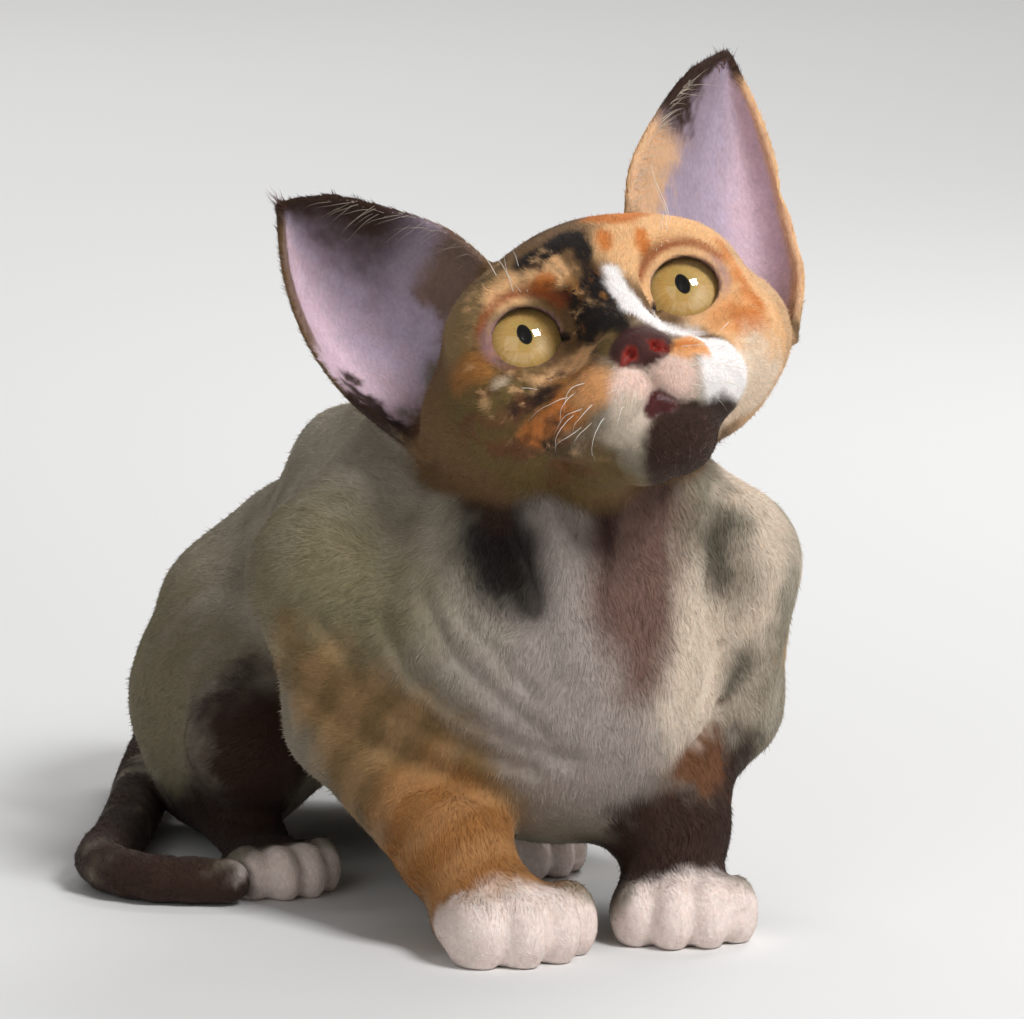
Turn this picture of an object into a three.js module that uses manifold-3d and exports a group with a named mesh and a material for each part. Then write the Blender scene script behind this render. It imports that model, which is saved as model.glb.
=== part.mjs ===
// A young devon rex cat in a low crouch, life size, in millimetres.
// +Z is up, the cat faces -Y, and its left side is at +X.
import * as THREE from "three";
import { mergeVertices } from "three/addons/utils/BufferGeometryUtils.js";
import Module from "manifold-3d";

const wasm = await Module();
wasm.setup();

// Driving sizes
const GAP = 0.3; // width of the thin cut between two touching parts
const EYE_RADIUS = 9.4;
const EYE_HALF_SPACING = 17;
const EYE_DEPTH = 9.2; // eyeball centre behind the plane of the two corneas
const LID_OPENING = [6.9, 6.2]; // half width and half height of the open lids
const SKULL = [29, 31, 23.5]; // half width, half length, half height of the braincase
const CHEEK_HALF_WIDTH = 21;
const EAR_THICKNESS = 1.9;
const TAIL_RADIUS = [7.2, 4.6];
const HEAD_AT = [8, -64, 128]; // the point midway between the corneas
const HEAD_TURN = [-26.7, -17.7, -19.5]; // degrees: nose up, tilt to the right side, turn to the left side
const LID_RADIUS = EYE_RADIUS + 1.5;
const FUR = 0.4; // short coat over the flesh

const degrees = THREE.MathUtils.degToRad;
const vec = (p) => new THREE.Vector3(p[0], p[1], p[2]);

// Signed distance of soft forms: below zero inside. Points are arrays of three numbers.
const blend = (a, b, k) => {
  const h = Math.max(k - Math.abs(a - b), 0) / k;
  return Math.min(a, b) - (h * h * k) / 4;
};
const carve = (a, b, k) => -blend(-a, b, k);

const turned = (angles) => {
  const m = new THREE.Matrix4().makeRotationFromEuler(
    new THREE.Euler(degrees(angles[0]), degrees(angles[1]), degrees(angles[2]), "ZXY"),
  );
  return m.elements;
};

// An ellipsoid with its centre, its three half sizes and its turn in degrees.
function egg(c, r, angles = [0, 0, 0]) {
  const e = turned(angles);
  return (p) => {
    const x = p[0] - c[0];
    const y = p[1] - c[1];
    const z = p[2] - c[2];
    const a = (e[0] * x + e[1] * y + e[2] * z) / r[0];
    const b = (e[4] * x + e[5] * y + e[6] * z) / r[1];
    const d = (e[8] * x + e[9] * y + e[10] * z) / r[2];
    const k0 = Math.hypot(a, b, d);
    const k1 = Math.hypot(a / r[0], b / r[1], d / r[2]);
    return k1 < 1e-9 ? -Math.min(r[0], r[1], r[2]) : (k0 * (k0 - 1)) / k1;
  };
}

// A round limb from a to b whose radius runs from ra to rb.
function bone(a, b, ra, rb) {
  const d = [b[0] - a[0], b[1] - a[1], b[2] - a[2]];
  const n = d[0] * d[0] + d[1] * d[1] + d[2] * d[2];
  return (p) => {
    const x = p[0] - a[0];
    const y = p[1] - a[1];
    const z = p[2] - a[2];
    const t = Math.min(Math.max((x * d[0] + y * d[1] + z * d[2]) / n, 0), 1);
    return Math.hypot(x - t * d[0], y - t * d[1], z - t * d[2]) - ra - t * (rb - ra);
  };
}

const group = (k, ...forms) => (p) => {
  let f = forms[0](p);
  for (let i = 1; i < forms.length; i++) f = blend(f, forms[i](p), k);
  return f;
};

// Head, in its own axes: +X the cat's left, +Y backwards, +Z up, from the point midway between the corneas.
const headFrame = new THREE.Matrix4()
  .makeRotationFromEuler(
    new THREE.Euler(degrees(HEAD_TURN[0]), degrees(HEAD_TURN[1]), degrees(HEAD_TURN[2]), "ZXY"),
  )
  .setPosition(vec(HEAD_AT));
const headInverse = headFrame.clone().invert();
const toHead = (p) => {
  const e = headInverse.elements;
  return [
    e[0] * p[0] + e[4] * p[1] + e[8] * p[2] + e[12],
    e[1] * p[0] + e[5] * p[1] + e[9] * p[2] + e[13],
    e[2] * p[0] + e[6] * p[1] + e[10] * p[2] + e[14],
  ];
};
const fromHead = (p) => vec(p).applyMatrix4(headFrame).toArray();

const skull = group(
  7,
  egg([0, 24, 1], SKULL),
  egg([0, 7, 9], [20, 12, 10.5]),
  egg([15, 6, 8], [9.5, 8, 6.5]),
  egg([22, 13, 2], [10, 11, 12]),
  egg([CHEEK_HALF_WIDTH + 1, 14, -11], [13, 15, 12]),
  egg([16, 24, -13], [15, 15, 13]),
  egg([31, 25, -5], [9, 11, 11]),
);
const orbit = egg([EYE_HALF_SPACING + 0.5, -3, 0], [10.5, 8.5, 9.8]);
const lids = egg([EYE_HALF_SPACING, EYE_DEPTH, 0], [LID_RADIUS, LID_RADIUS, LID_RADIUS]);
const face = group(
  4,
  bone([0, 1, 1], [0, -11, -10], 7, 5.6),
  egg([6.5, -8, -19.5], [8.5, 9.5, 8]),
  egg([12, 0, -20], [10, 10, 9]),
  egg([0, -5, -14], [9, 10, 8]),
);
const jaw = group(
  6,
  egg([0, -5, -31], [8.5, 8, 6.5]),
  bone([4, 0, -30], [10, 20, -21], 8, 9),
);
const noseLeather = egg([0, -15.5, -14.6], [5.6, 3.6, 4]);
const earBowl = egg([31.5, 27, 8], [7.5, 9, 15], [0, -43, 0]);

function headForm(world) {
  const p = toHead(world);
  p[0] = Math.abs(p[0]);
  let f = blend(skull(p), face(p), 6);
  f = blend(carve(f, orbit(p), 4), lids(p), 4);
  f = blend(f, jaw(p), 3);
  f = blend(f, noseLeather(p), 1.5);
  return carve(f, earBowl(p), 3);
}

// Body
const trunk = group(
  16,
  egg([4, -28, 54], [39, 40, 35], [0, 0, -20]),
  egg([7, -50, 45], [27, 22, 27], [0, 0, -20]),
  egg([3, 8, 56], [33, 46, 34]),
  egg([6, 44, 48], [28, 40, 37]),
  egg([4, 78, 41], [25, 30, 32]),
  bone([0, -25, 88], [2, 20, 90], 8, 8),
  bone([2, 20, 90], [2, 52, 84], 8, 9),
);
const neck = group(
  10,
  bone([18, -40, 103], [6, -40, 76], 19, 27),
  bone([16, -28, 106], [2, -8, 86], 14, 18),
);

function limb(k, joints) {
  const parts = [];
  for (let i = 1; i < joints.length; i++)
    parts.push(bone(joints[i - 1].at, joints[i].at, joints[i - 1].r, joints[i].r));
  return group(k, ...parts);
}

// A paw: the point on the floor under its middle, the way it points, and its half width.
function paw(at, heading, half, long) {
  const t = degrees(heading);
  const place = (side, ahead, up) => [
    at[0] + side * Math.cos(t) + ahead * Math.sin(t),
    at[1] + side * Math.sin(t) - ahead * Math.cos(t),
    up,
  ];
  const back = [half * 0.86, long * 0.75, half * 0.5];
  const forms = [egg(place(0, -long * 0.25, half * 0.42), back, [0, 0, heading])];
  [-0.72, -0.26, 0.26, 0.72].forEach((s, i) => {
    const ahead = i === 1 || i === 2 ? long * 0.55 : long * 0.3;
    const toe = [half * 0.31, long * 0.42, half * 0.5];
    forms.push(egg(place(s * half, ahead, half * 0.42), toe, [0, 0, heading - s * 12]));
  });
  return group(half * 0.16, ...forms);
}

const LEGS = {
  foreleg_right: {
    k: 8,
    joints: [
      { at: [-14, -12, 92], r: 11 },
      { at: [-34, -18, 70], r: 15 },
      { at: [-29, -20, 40], r: 13 },
      { at: [-23, -58, 19], r: 10.5 },
      { at: [-20, -70, 9], r: 9.5 },
    ],
    paw: paw([-17.5, -72, 0], 10, 16, 17),
  },
  foreleg_left: {
    k: 8,
    joints: [
      { at: [24, -34, 93], r: 12 },
      { at: [43, -45, 71], r: 16 },
      { at: [43, -42, 42], r: 14 },
      { at: [36, -40, 34], r: 13 },
      { at: [25, -60, 20], r: 11 },
      { at: [21, -68, 9], r: 9.5 },
    ],
    paw: paw([21, -72, 0], -16, 14.5, 16),
  },
  hind_right: {
    k: 10,
    joints: [
      { at: [-14, 82, 46], r: 15 },
      { at: [-34, 20, 28], r: 12.5 },
      { at: [-28, 62, 12], r: 8 },
      { at: [-34, 20, 7.5], r: 7 },
    ],
    paw: paw([-36, 4, 0], 4, 12, 15),
  },
  hind_left: {
    k: 10,
    joints: [
      { at: [12, 84, 54], r: 17 },
      { at: [34, 20, 28], r: 13 },
      { at: [30, 62, 12], r: 8 },
      { at: [22, 14, 7.5], r: 7 },
    ],
    paw: paw([19, 0, 0], 6, 12, 15),
  },
};
const legForms = Object.values(LEGS).map((leg) => {
  const bones = limb(leg.k * 0.5, leg.joints);
  return (p) => blend(bones(p), leg.paw(p), 5);
});
const thighs = group(
  8,
  egg([-24.5, 56, 28], [16, 34, 24], [0, 0, 8]),
  egg([25, 56, 30], [16, 34, 25], [0, 0, -8]),
);

const tailCurve = new THREE.CatmullRomCurve3(
  [
    [-3, 104, 38],
    [-9, 117, 22],
    [-20, 109, 9],
    [-32, 88, 6.6],
    [-44, 64, 6],
    [-57, 40, 5.7],
    [-69, 19, 5.5],
    [-65, 4, 5.2],
    [-51, -6, 5],
  ].map(vec),
);
const TAIL_STEPS = 24;
const tailPoints = tailCurve.getSpacedPoints(TAIL_STEPS).map((v) => v.toArray());
const tailRadius = (t) => TAIL_RADIUS[0] + t * (TAIL_RADIUS[1] - TAIL_RADIUS[0]);
const tailBones = tailPoints
  .slice(1)
  .map((p, i) => bone(tailPoints[i], p, tailRadius(i / TAIL_STEPS), tailRadius((i + 1) / TAIL_STEPS)));
const tailRoot = group(2, ...tailBones.slice(0, 5));

// Two cords of muscle down the throat to the breastbone, with a hollow outside each.
const throatCords = group(
  2,
  bone([-5.2, -56, 92], [-1.5, -63.5, 75], 6, 5.4),
  bone([-1.5, -63.5, 75], [-1.2, -69, 57], 5.4, 4),
  bone([31, -51.5, 90], [28.5, -57.5, 75], 4.5, 4),
  bone([28.5, -57.5, 75], [25, -65.5, 57], 4, 3),
);
const throatHollows = group(
  1,
  egg([-14.5, -62.5, 79], [9, 7, 13], [0, -12, 0]),
  egg([36, -62.5, 75], [4.5, 4.5, 10], [0, 8, 0]),
);

function wholeForm(p) {
  let f = blend(trunk(p), thighs(p), 10);
  f = blend(f, Math.min(...legForms.map((leg) => leg(p))), 9);
  f = blend(f, neck(p), 10);
  f = blend(carve(f, throatHollows(p), 5), throatCords(p), 3);
  f = blend(f, headForm(p), 4);
  f = blend(f, tailRoot(p), 6);
  f = Math.min(f, ...tailBones.map((b) => b(p)));
  return Math.max(f - FUR, -p[2]);
}

// Closed surface of a form inside a box.
// Each sheet of the surface in a cell gets one vertex, which is then moved onto the form.
const CORNERS = [0, 1, 2, 3, 4, 5, 6, 7].map((c) => [c & 1, (c >> 1) & 1, (c >> 2) & 1]);
const EDGES = CORNERS.flatMap((c, a) => [0, 1, 2].filter((s) => !c[s]).map((s) => [a, a | (1 << s), s]));

// Numbers the groups of joined corners of a cell; outside corners also join across the diagonal of a face.
function cornerGroups(v) {
  const id = [0, 1, 2, 3, 4, 5, 6, 7];
  const join = (a, b) => {
    const from = id[a];
    const to = id[b];
    for (let i = 0; i < 8; i++) if (id[i] === from) id[i] = to;
  };
  for (const [a, b] of EDGES) if (v[a] < 0 === v[b] < 0) join(a, b);
  for (let a = 0; a < 8; a++)
    for (const step of [3, 5, 6]) if (v[a] >= 0 && v[a ^ step] >= 0) join(a, a ^ step);
  return id;
}

function skinMesh(form, low, high, cell) {
  const n = low.map((v, i) => Math.ceil((high[i] - v) / cell) + 1);
  const index = (c) => (c[2] * n[1] + c[1]) * n[0] + c[0];
  const value = new Float64Array(n[0] * n[1] * n[2]);
  const cells = [];
  for (let k = 0; k < n[2]; k++)
    for (let j = 0; j < n[1]; j++)
      for (let i = 0; i < n[0]; i++) {
        const c = [i, j, k];
        const border = c.some((x, s) => !x || x === n[s] - 1);
        value[index(c)] = border ? 1 : form(c.map((x, s) => low[s] + x * cell));
        if (c.every((x, s) => x < n[s] - 1)) cells.push(c);
      }
  const vertexOf = new Map();
  const points = [];
  for (const c of cells) {
    const v = CORNERS.map((o) => value[index([c[0] + o[0], c[1] + o[1], c[2] + o[2]])]);
    const crossed = EDGES.filter(([a, b]) => v[a] < 0 !== v[b] < 0);
    if (!crossed.length) continue;
    const id = cornerGroups(v);
    const sheets = new Map();
    for (const [a, b, s] of crossed) {
      const key = v[a] < 0 ? id[a] * 8 + id[b] : id[b] * 8 + id[a];
      if (!sheets.has(key)) sheets.set(key, []);
      const at = CORNERS[a].slice();
      at[s] += v[a] / (v[a] - v[b]);
      sheets.get(key).push(at);
      vertexOf.set(index(c) * 24 + a * 3 + s, [key, c]);
    }
    const place = new Map();
    for (const [key, list] of sheets) {
      place.set(key, points.length);
      const middle = [0, 1, 2].map((x) => list.reduce((t, q) => t + q[x], 0) / list.length);
      points.push(middle.map((m, x) => low[x] + (c[x] + m) * cell));
    }
    for (const [a, , s] of crossed) {
      const at = index(c) * 24 + a * 3 + s;
      vertexOf.set(at, place.get(vertexOf.get(at)[0]));
    }
  }
  for (const p of points) settle(form, p, cell);
  const faces = [];
  const far = (x, y) => Math.hypot(...[0, 1, 2].map((z) => points[x][z] - points[y][z]));
  for (const c of cells) {
    const inside = value[index(c)] < 0;
    for (let s = 0; s < 3; s++) {
      const next = c.slice();
      next[s]++;
      if (inside === value[index(next)] < 0) continue;
      const [t, w] = [(s + 1) % 3, (s + 2) % 3];
      const ring = [[1, 1], [0, 1], [0, 0], [1, 0]].map(([dt, dw]) => {
        const at = c.slice();
        at[t] -= dt;
        at[w] -= dw;
        const corner = (dt << t) | (dw << w);
        return vertexOf.get(index(at) * 24 + corner * 3 + s);
      });
      const q = inside ? ring : ring.reverse();
      const order = far(q[0], q[2]) <= far(q[1], q[3]) ? [0, 1, 2, 0, 2, 3] : [0, 1, 3, 1, 2, 3];
      faces.push(...order.map((x) => q[x]));
    }
  }
  return { points, faces };
}

// Moves a vertex along the slope of the form onto its surface, by no more than half a cell.
function settle(form, p, cell) {
  const from = p.slice();
  const h = 0.05;
  for (let turn = 0; turn < 3; turn++) {
    const f = form(p);
    const slope = [0, 1, 2].map((x) => {
      const q = p.slice();
      q[x] += h;
      return (form(q) - f) / h;
    });
    const steep = slope[0] ** 2 + slope[1] ** 2 + slope[2] ** 2;
    if (steep < 0.05) return;
    for (let x = 0; x < 3; x++) p[x] -= (f * slope[x]) / steep;
  }
  for (let x = 0; x < 3; x++) p[x] = Math.min(Math.max(p[x], from[x] - cell * 0.5), from[x] + cell * 0.5);
}

function solid(points, faces) {
  const made = new wasm.Manifold(
    new wasm.Mesh({
      numProp: 3,
      vertProperties: new Float32Array(points.flat()),
      triVerts: new Uint32Array(faces),
    }),
  );
  return made;
}

function solidOfGeometry(geometry, matrix) {
  const g = geometry.clone();
  g.deleteAttribute("normal");
  g.deleteAttribute("uv");
  if (matrix) g.applyMatrix4(matrix);
  const merged = mergeVertices(g, 1e-3);
  return new wasm.Manifold(
    new wasm.Mesh({
      numProp: 3,
      vertProperties: merged.attributes.position.array,
      triVerts: new Uint32Array(merged.index.array),
    }),
  );
}

const spline = (points) => new THREE.CatmullRomCurve3(points.map(vec), false, "centripetal");

// One ear: a cup between a leading edge, a spine down its back and an outer edge, drawn for the left side.
const EAR = {
  leading: spline([[14, 18, 18], [20.5, 20, 31.4], [30.3, 24, 41.5], [39.6, 26, 48.3], [49.5, 31, 52.1]]),
  spine: spline([[30, 43, 2], [38, 47, 18], [43, 46, 32], [47, 40, 43], [49.5, 31, 52.1]]),
  outer: spline([
    [39, 27, -11],
    [46.5, 31, 3],
    [49.5, 38, 13],
    [51.8, 41, 25],
    [52.2, 38, 38],
    [49.5, 31, 52.1],
  ]),
};
const EAR_ROOT = [30, 27, 2];
const EAR_STRETCH = { left: 1.05, right: 1 };
function earPoint(u, v) {
  const [a, s, b] = [EAR.leading, EAR.spine, EAR.outer].map((c) => c.getPoint(u));
  const mid = a.clone().add(b).multiplyScalar(0.5);
  const bulge = s.sub(mid).multiplyScalar(1 - Math.abs(v) ** 2.3);
  return a.multiplyScalar((1 - v) / 2).add(b.multiplyScalar((1 + v) / 2)).add(bulge);
}
function earShell(side, rows, columns, stretch, extra) {
  const h = 1e-3;
  const mid = [];
  const across = [];
  for (let i = 0; i <= rows; i++)
    for (let j = 0; j <= columns; j++) {
      const first = extra ? 0 : 0.03;
      const u = first + (i / rows) * (0.985 - first);
      const v = ((2 * j) / columns - 1) * (1 + 0.08 * extra);
      const p = earPoint(u, v);
      const du = earPoint(Math.min(u + h, 1), v).sub(earPoint(u - (u > h ? h : 0), v));
      const dv = earPoint(u, v + h).sub(earPoint(u, v - h));
      mid.push(p);
      across.push(du.cross(dv).normalize());
    }
  const points = [];
  for (const s of [1, -1])
    mid.forEach((p, i) => {
      const j = i % (columns + 1);
      const row = Math.floor(i / (columns + 1));
      const rim = j === 0 || j === columns || row === rows ? 0.45 : 1;
      const q = p.clone().addScaledVector(across[i], s * ((rim * EAR_THICKNESS) / 2 + extra));
      const [x, y, z] = EAR_ROOT.map((c, k) => c + (q.getComponent(k) - c) * stretch);
      points.push([x * side, y, z]);
    });
  const n = mid.length;
  const w = columns + 1;
  const faces = [];
  const quad = (a, b, c, d) => faces.push(...(side < 0 ? [a, b, c, a, c, d] : [a, c, b, a, d, c]));
  for (let i = 0; i < rows; i++)
    for (let j = 0; j < columns; j++) {
      const a = i * w + j;
      quad(a, a + 1, a + w + 1, a + w);
      quad(n + a, n + a + w, n + a + w + 1, n + a + 1);
    }
  for (let j = 0; j < columns; j++) {
    quad(j + 1, j, n + j, n + j + 1);
    const a = rows * w + j;
    quad(a, a + 1, n + a + 1, n + a);
  }
  for (let i = 0; i < rows; i++) {
    quad(i * w, i * w + w, n + i * w + w, n + i * w);
    const a = i * w + columns;
    quad(a + w, a, n + a, n + a + w);
  }
  return solid(points.map(fromHead), faces);
}

const eggSolid = (c, r, angles = [0, 0, 0], frame = headFrame, detail = 20) => {
  const m = new THREE.Matrix4()
    .makeRotationFromEuler(new THREE.Euler(...angles.map(degrees), "ZXY"))
    .setPosition(vec(c));
  const ball = new THREE.SphereGeometry(1, detail, Math.round(detail * 0.6)).scale(...r);
  return solidOfGeometry(ball, frame.clone().multiply(m));
};
// A point on the rounded end of a sleeve, turned from the end's own pole.
const roundEnd = (r, turn, at, way) =>
  new THREE.Vector2(r * Math.sin(turn), at + way * r * Math.cos(turn));

// A closed round groove or sleeve along a path.
function sleeve(points, radii, frame = new THREE.Matrix4()) {
  let made = null;
  for (let i = 1; i < points.length; i++) {
    const [a, b] = [vec(points[i - 1]), vec(points[i])];
    const long = a.distanceTo(b);
    const rings = [];
    for (let t = 0; t <= 2; t++)
      rings.push(roundEnd(radii[i - 1], (t * Math.PI) / 4, 0, -1));
    for (let t = 2; t >= 0; t--)
      rings.push(roundEnd(radii[i], (t * Math.PI) / 4, long, 1));
    rings[0].x = 0;
    rings[rings.length - 1].x = 0;
    const g = new THREE.LatheGeometry(rings, 8);
    const m = new THREE.Matrix4().makeRotationFromQuaternion(
      new THREE.Quaternion().setFromUnitVectors(
        new THREE.Vector3(0, 1, 0),
        b.clone().sub(a).normalize(),
      ),
    );
    m.setPosition(a);
    const one = solidOfGeometry(g, frame.clone().multiply(m));
    made = made ? made.add(one) : one;
  }
  return made;
}

const largest = (made) => made.decompose().reduce((a, b) => (a.volume() > b.volume() ? a : b));
const world = new THREE.Matrix4();
const grown = (radii, by) => radii.map((r) => r + by);

// Where one part ends and the next begins, in the order in which they are cut from the whole.
const inHead = (c, r) => ({ solid: (by) => eggSolid(c, grown(r, by), [0, 0, 0], headFrame, 18) });
const inWorld = (c, r, angles = [0, 0, 0]) => ({
  solid: (by) => eggSolid(c, grown(r, by), angles, world, 16),
});
const along = (points, radii) => ({ solid: (by) => sleeve(points, grown(radii, by)) });
const tailPart = (from, to) => {
  const points = tailPoints.filter((p, i) => i >= from && i <= to && (i - from) % 2 === 0);
  return along(points, points.map((p, i) => tailRadius((from + 2 * i) / TAIL_STEPS) + 3));
};

const COAT = {
  face: { color: 0xb98f6a, roughness: 0.85, metalness: 0 },
  ear: { color: 0xa08a90, roughness: 0.75, metalness: 0 },
  iris: { color: 0xb39a4a, roughness: 0.12, metalness: 0 },
  leather: { color: 0x6e3a34, roughness: 0.5, metalness: 0 },
  grey: { color: 0x8f877a, roughness: 0.9, metalness: 0 },
  orange: { color: 0xb57f42, roughness: 0.9, metalness: 0 },
  dark: { color: 0x4a3128, roughness: 0.9, metalness: 0 },
  white: { color: 0xe6e1dc, roughness: 0.9, metalness: 0 },
};

const PARTS = [
  ["nose", COAT.leather, inHead([0, -18, -14.5], [6.6, 6.5, 4.9]), 2.7],
  ["face", COAT.face, inHead([0, -11, -11], [33, 27, 33]), 3.6],
  ["head", COAT.face, inHead([0, 12, -5], [50, 43, 41]), 6.5],
  ["paw_front_right", COAT.white, inWorld([-17, -80, 4], [20, 21, 14]), 4.6],
  ["paw_front_left", COAT.white, inWorld([20, -79, 4], [19, 20, 14]), 4.6],
  ["forearm_right", COAT.orange, along([[-29, -16, 38], [-21, -62, 14]], [18, 16]), 7.5],
  ["forearm_left", COAT.dark, along([[37, -38, 34], [23, -66, 14]], [18, 16]), 7.5],
  ["upper_arm_right", COAT.grey, inWorld([-42, -16, 62], [22, 26, 36]), 8.5],
  ["upper_arm_left", COAT.grey, inWorld([52, -44, 64], [21, 26, 34]), 8.5],
  ["paw_hind_right", COAT.white, inWorld([-35, 1, 4], [16, 19, 13]), 5.2],
  ["paw_hind_left", COAT.white, inWorld([19, -3, 4], [16, 19, 13]), 5.2],
  ["foot_hind_right", COAT.dark, along([[-29, 66, 7], [-34, 16, 6]], [13, 12]), 7],
  ["foot_hind_left", COAT.dark, along([[29, 66, 7], [23, 12, 6]], [13, 12]), 7],
  ["tail_tip", COAT.dark, tailPart(16, 24), 5],
  ["tail_middle", COAT.dark, tailPart(8, 16), 6],
  ["tail_base", COAT.dark, tailPart(2, 8), 5.5],
  ["thigh_right", COAT.grey, inWorld([-38, 42, 30], [24, 50, 34]), 10],
  ["thigh_left", COAT.grey, inWorld([40, 42, 30], [24, 50, 34]), 10],
  ["neck", COAT.grey, inWorld([14, -36, 98], [44, 40, 27], [20, 0, 0]), 7],
  ["chest", COAT.grey, inWorld([0, -60, 50], [70, 58, 70]), 8.5],
  ["belly", COAT.grey, inWorld([0, 18, 50], [70, 42, 70]), 13],
  ["rump", COAT.grey, inWorld([0, 90, 50], [70, 60, 70]), 12],
];

const all = new THREE.Group();
function show(name, made, look) {
  const m = largest(made).getMesh();
  const g = new THREE.BufferGeometry()
    .setAttribute("position", new THREE.BufferAttribute(new Float32Array(m.vertProperties), 3))
    .setIndex([...m.triVerts]);
  const mesh = new THREE.Mesh(g, new THREE.MeshStandardMaterial(look));
  mesh.name = name;
  all.add(mesh);
}

const ofMesh = (m) => solid(m.points, m.faces);
const cutBefore = [];
const earSlots = [];
for (const side of [-1, 1]) {
  const which = side < 0 ? "right" : "left";
  show("ear_" + which, earShell(side, 8, 10, EAR_STRETCH[which], 0), COAT.ear);
  earSlots.push(earShell(side, 8, 10, EAR_STRETCH[which], GAP));
}
const sockets = [];
const lidRims = [-1, 1].map((side) => {
  const ring = new THREE.TorusGeometry(1, 0.15, 6, 18)
    .rotateX(Math.PI / 2)
    .scale(LID_OPENING[0] + 0.9, 7, LID_OPENING[1] + 0.9);
  ring.translate(side * EYE_HALF_SPACING, EYE_DEPTH - 7, 0);
  return solidOfGeometry(ring, headFrame);
});
const philtrumCut = eggSolid([0, -20.2, -19.8], [0.8, 2, 3.4], [0, 0, 0], headFrame, 8);
for (const side of [-1, 1]) {
  const centre = [side * EYE_HALF_SPACING, EYE_DEPTH, 0];
  const ball = [EYE_RADIUS, EYE_RADIUS, EYE_RADIUS];
  sockets.push(eggSolid(centre, grown(ball, GAP), [0, 0, 0], headFrame, 20));
  const opening = [LID_OPENING[0], 9, LID_OPENING[1]];
  sockets.push(eggSolid([centre[0], 0, 0], opening, [0, 0, 0], headFrame, 20));
  sockets.push(eggSolid([side * 6.5, -9, -26.8], [9.5, 9, 1], [0, side * 30, 0], headFrame, 12));
  sockets.push(eggSolid([side * 2.9, -18.4, -15.4], [1.7, 2.8, 1.25], [0, side * 30, 0], headFrame, 8));
  const eyeName = side < 0 ? "eye_right" : "eye_left";
  show(eyeName, eggSolid(centre, ball, [0, 0, 0], headFrame, 18), COAT.iris);
}
for (const [name, look, cutter, cell] of PARTS) {
  const region = cutter.solid(0);
  const { min, max } = region.boundingBox();
  const low = min.map((v) => v - 2.2 * cell);
  const high = max.map((v) => v + 2.2 * cell);
  low[2] = Math.max(low[2], -1.5 * cell);
  let part = ofMesh(skinMesh(wholeForm, low, high, cell));
  if (name === "face" || name === "head") for (const rim of lidRims) part = part.add(rim);
  part = part.intersect(region);
  for (const cut of cutBefore) part = part.subtract(cut);
  if (["head", "neck", "face"].includes(name))
    for (const slot of earSlots) part = part.subtract(slot);
  if (name === "head" || name === "nose" || name === "face") {
    for (const cut of sockets) part = part.subtract(cut);
    part = part.subtract(philtrumCut);
  }
  show(name, part, look);
  cutBefore.push(cutter.solid(GAP));
}
// The middle of the box that bounds the animal goes over the origin, with the floor at zero.
const bounds = new THREE.Box3().setFromObject(all);
const middle = bounds.getCenter(new THREE.Vector3());
all.children.forEach((mesh) => mesh.geometry.translate(-middle.x, -middle.y, -bounds.min.z));
export default all;
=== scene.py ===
# %% [markdown]
# A young devon rex cat as a life-size model.
# The cat crouches with its head up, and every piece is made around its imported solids.
# The model is in metres, +Z up, and the cat faces -Y with its left side at +X.
# The flesh is worked out in millimetres, because a cat's eyelid or toe is easier to think of that way.

# %% Load the frame
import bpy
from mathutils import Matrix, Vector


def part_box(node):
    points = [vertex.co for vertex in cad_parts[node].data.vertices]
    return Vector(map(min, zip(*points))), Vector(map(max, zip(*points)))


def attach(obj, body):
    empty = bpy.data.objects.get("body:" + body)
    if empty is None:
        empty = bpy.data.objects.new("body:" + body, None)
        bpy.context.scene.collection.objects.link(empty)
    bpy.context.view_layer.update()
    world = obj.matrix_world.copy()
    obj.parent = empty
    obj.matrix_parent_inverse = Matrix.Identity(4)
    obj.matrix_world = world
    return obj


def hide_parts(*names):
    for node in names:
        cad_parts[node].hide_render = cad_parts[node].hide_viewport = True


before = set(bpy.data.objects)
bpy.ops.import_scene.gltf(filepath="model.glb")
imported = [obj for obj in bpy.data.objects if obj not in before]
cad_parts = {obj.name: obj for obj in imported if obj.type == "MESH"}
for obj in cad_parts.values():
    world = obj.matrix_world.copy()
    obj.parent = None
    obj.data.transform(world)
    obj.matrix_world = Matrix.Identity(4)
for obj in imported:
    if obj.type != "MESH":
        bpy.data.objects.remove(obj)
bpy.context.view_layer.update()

import math

import bpy
import numpy as np
from mathutils import Vector
from mathutils.bvhtree import BVHTree

# %% [markdown]
# Flesh has no edges: a leg runs into a chest through a soft hollow.
# Sculpting by hand makes that, and so does joining simple forms whose distances melt into each other.
# The second way is used here, because each muscle keeps a name and a size that can be read and changed.
# Each form gives the distance to its surface for many points at once, negative inside.

# %% Soft forms
def turned(angles):
    """Turn matrix for angles in degrees about x, y and z, taken in the order z, x, y."""
    x, y, z = (math.radians(a) for a in angles)
    about_x = np.array([[1, 0, 0], [0, math.cos(x), -math.sin(x)], [0, math.sin(x), math.cos(x)]])
    about_y = np.array([[math.cos(y), 0, math.sin(y)], [0, 1, 0], [-math.sin(y), 0, math.cos(y)]])
    about_z = np.array([[math.cos(z), -math.sin(z), 0], [math.sin(z), math.cos(z), 0], [0, 0, 1]])
    return about_z @ about_x @ about_y


def length(v):
    """Length of each row of an array of vectors."""
    return np.sqrt(np.einsum("ij,ij->i", v, v))


def blend(a, b, k):
    """Joins two distances with a soft hollow of width k between them."""
    h = np.maximum(k - np.abs(a - b), 0) / k
    return np.minimum(a, b) - h * h * k / 4


def carve(a, b, k):
    """Takes form b out of form a with a rounded lip."""
    return -blend(-a, b, k)


def egg(centre, radii, angles=(0, 0, 0)):
    """An ellipsoid."""
    turn = turned(angles)
    radii = np.array(radii, float)

    def distance(p):
        q = (p - centre) @ turn / radii
        k0 = length(q)
        k1 = np.maximum(length(q / radii), 1e-9)
        return k0 * (k0 - 1) / k1
    return distance


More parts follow.
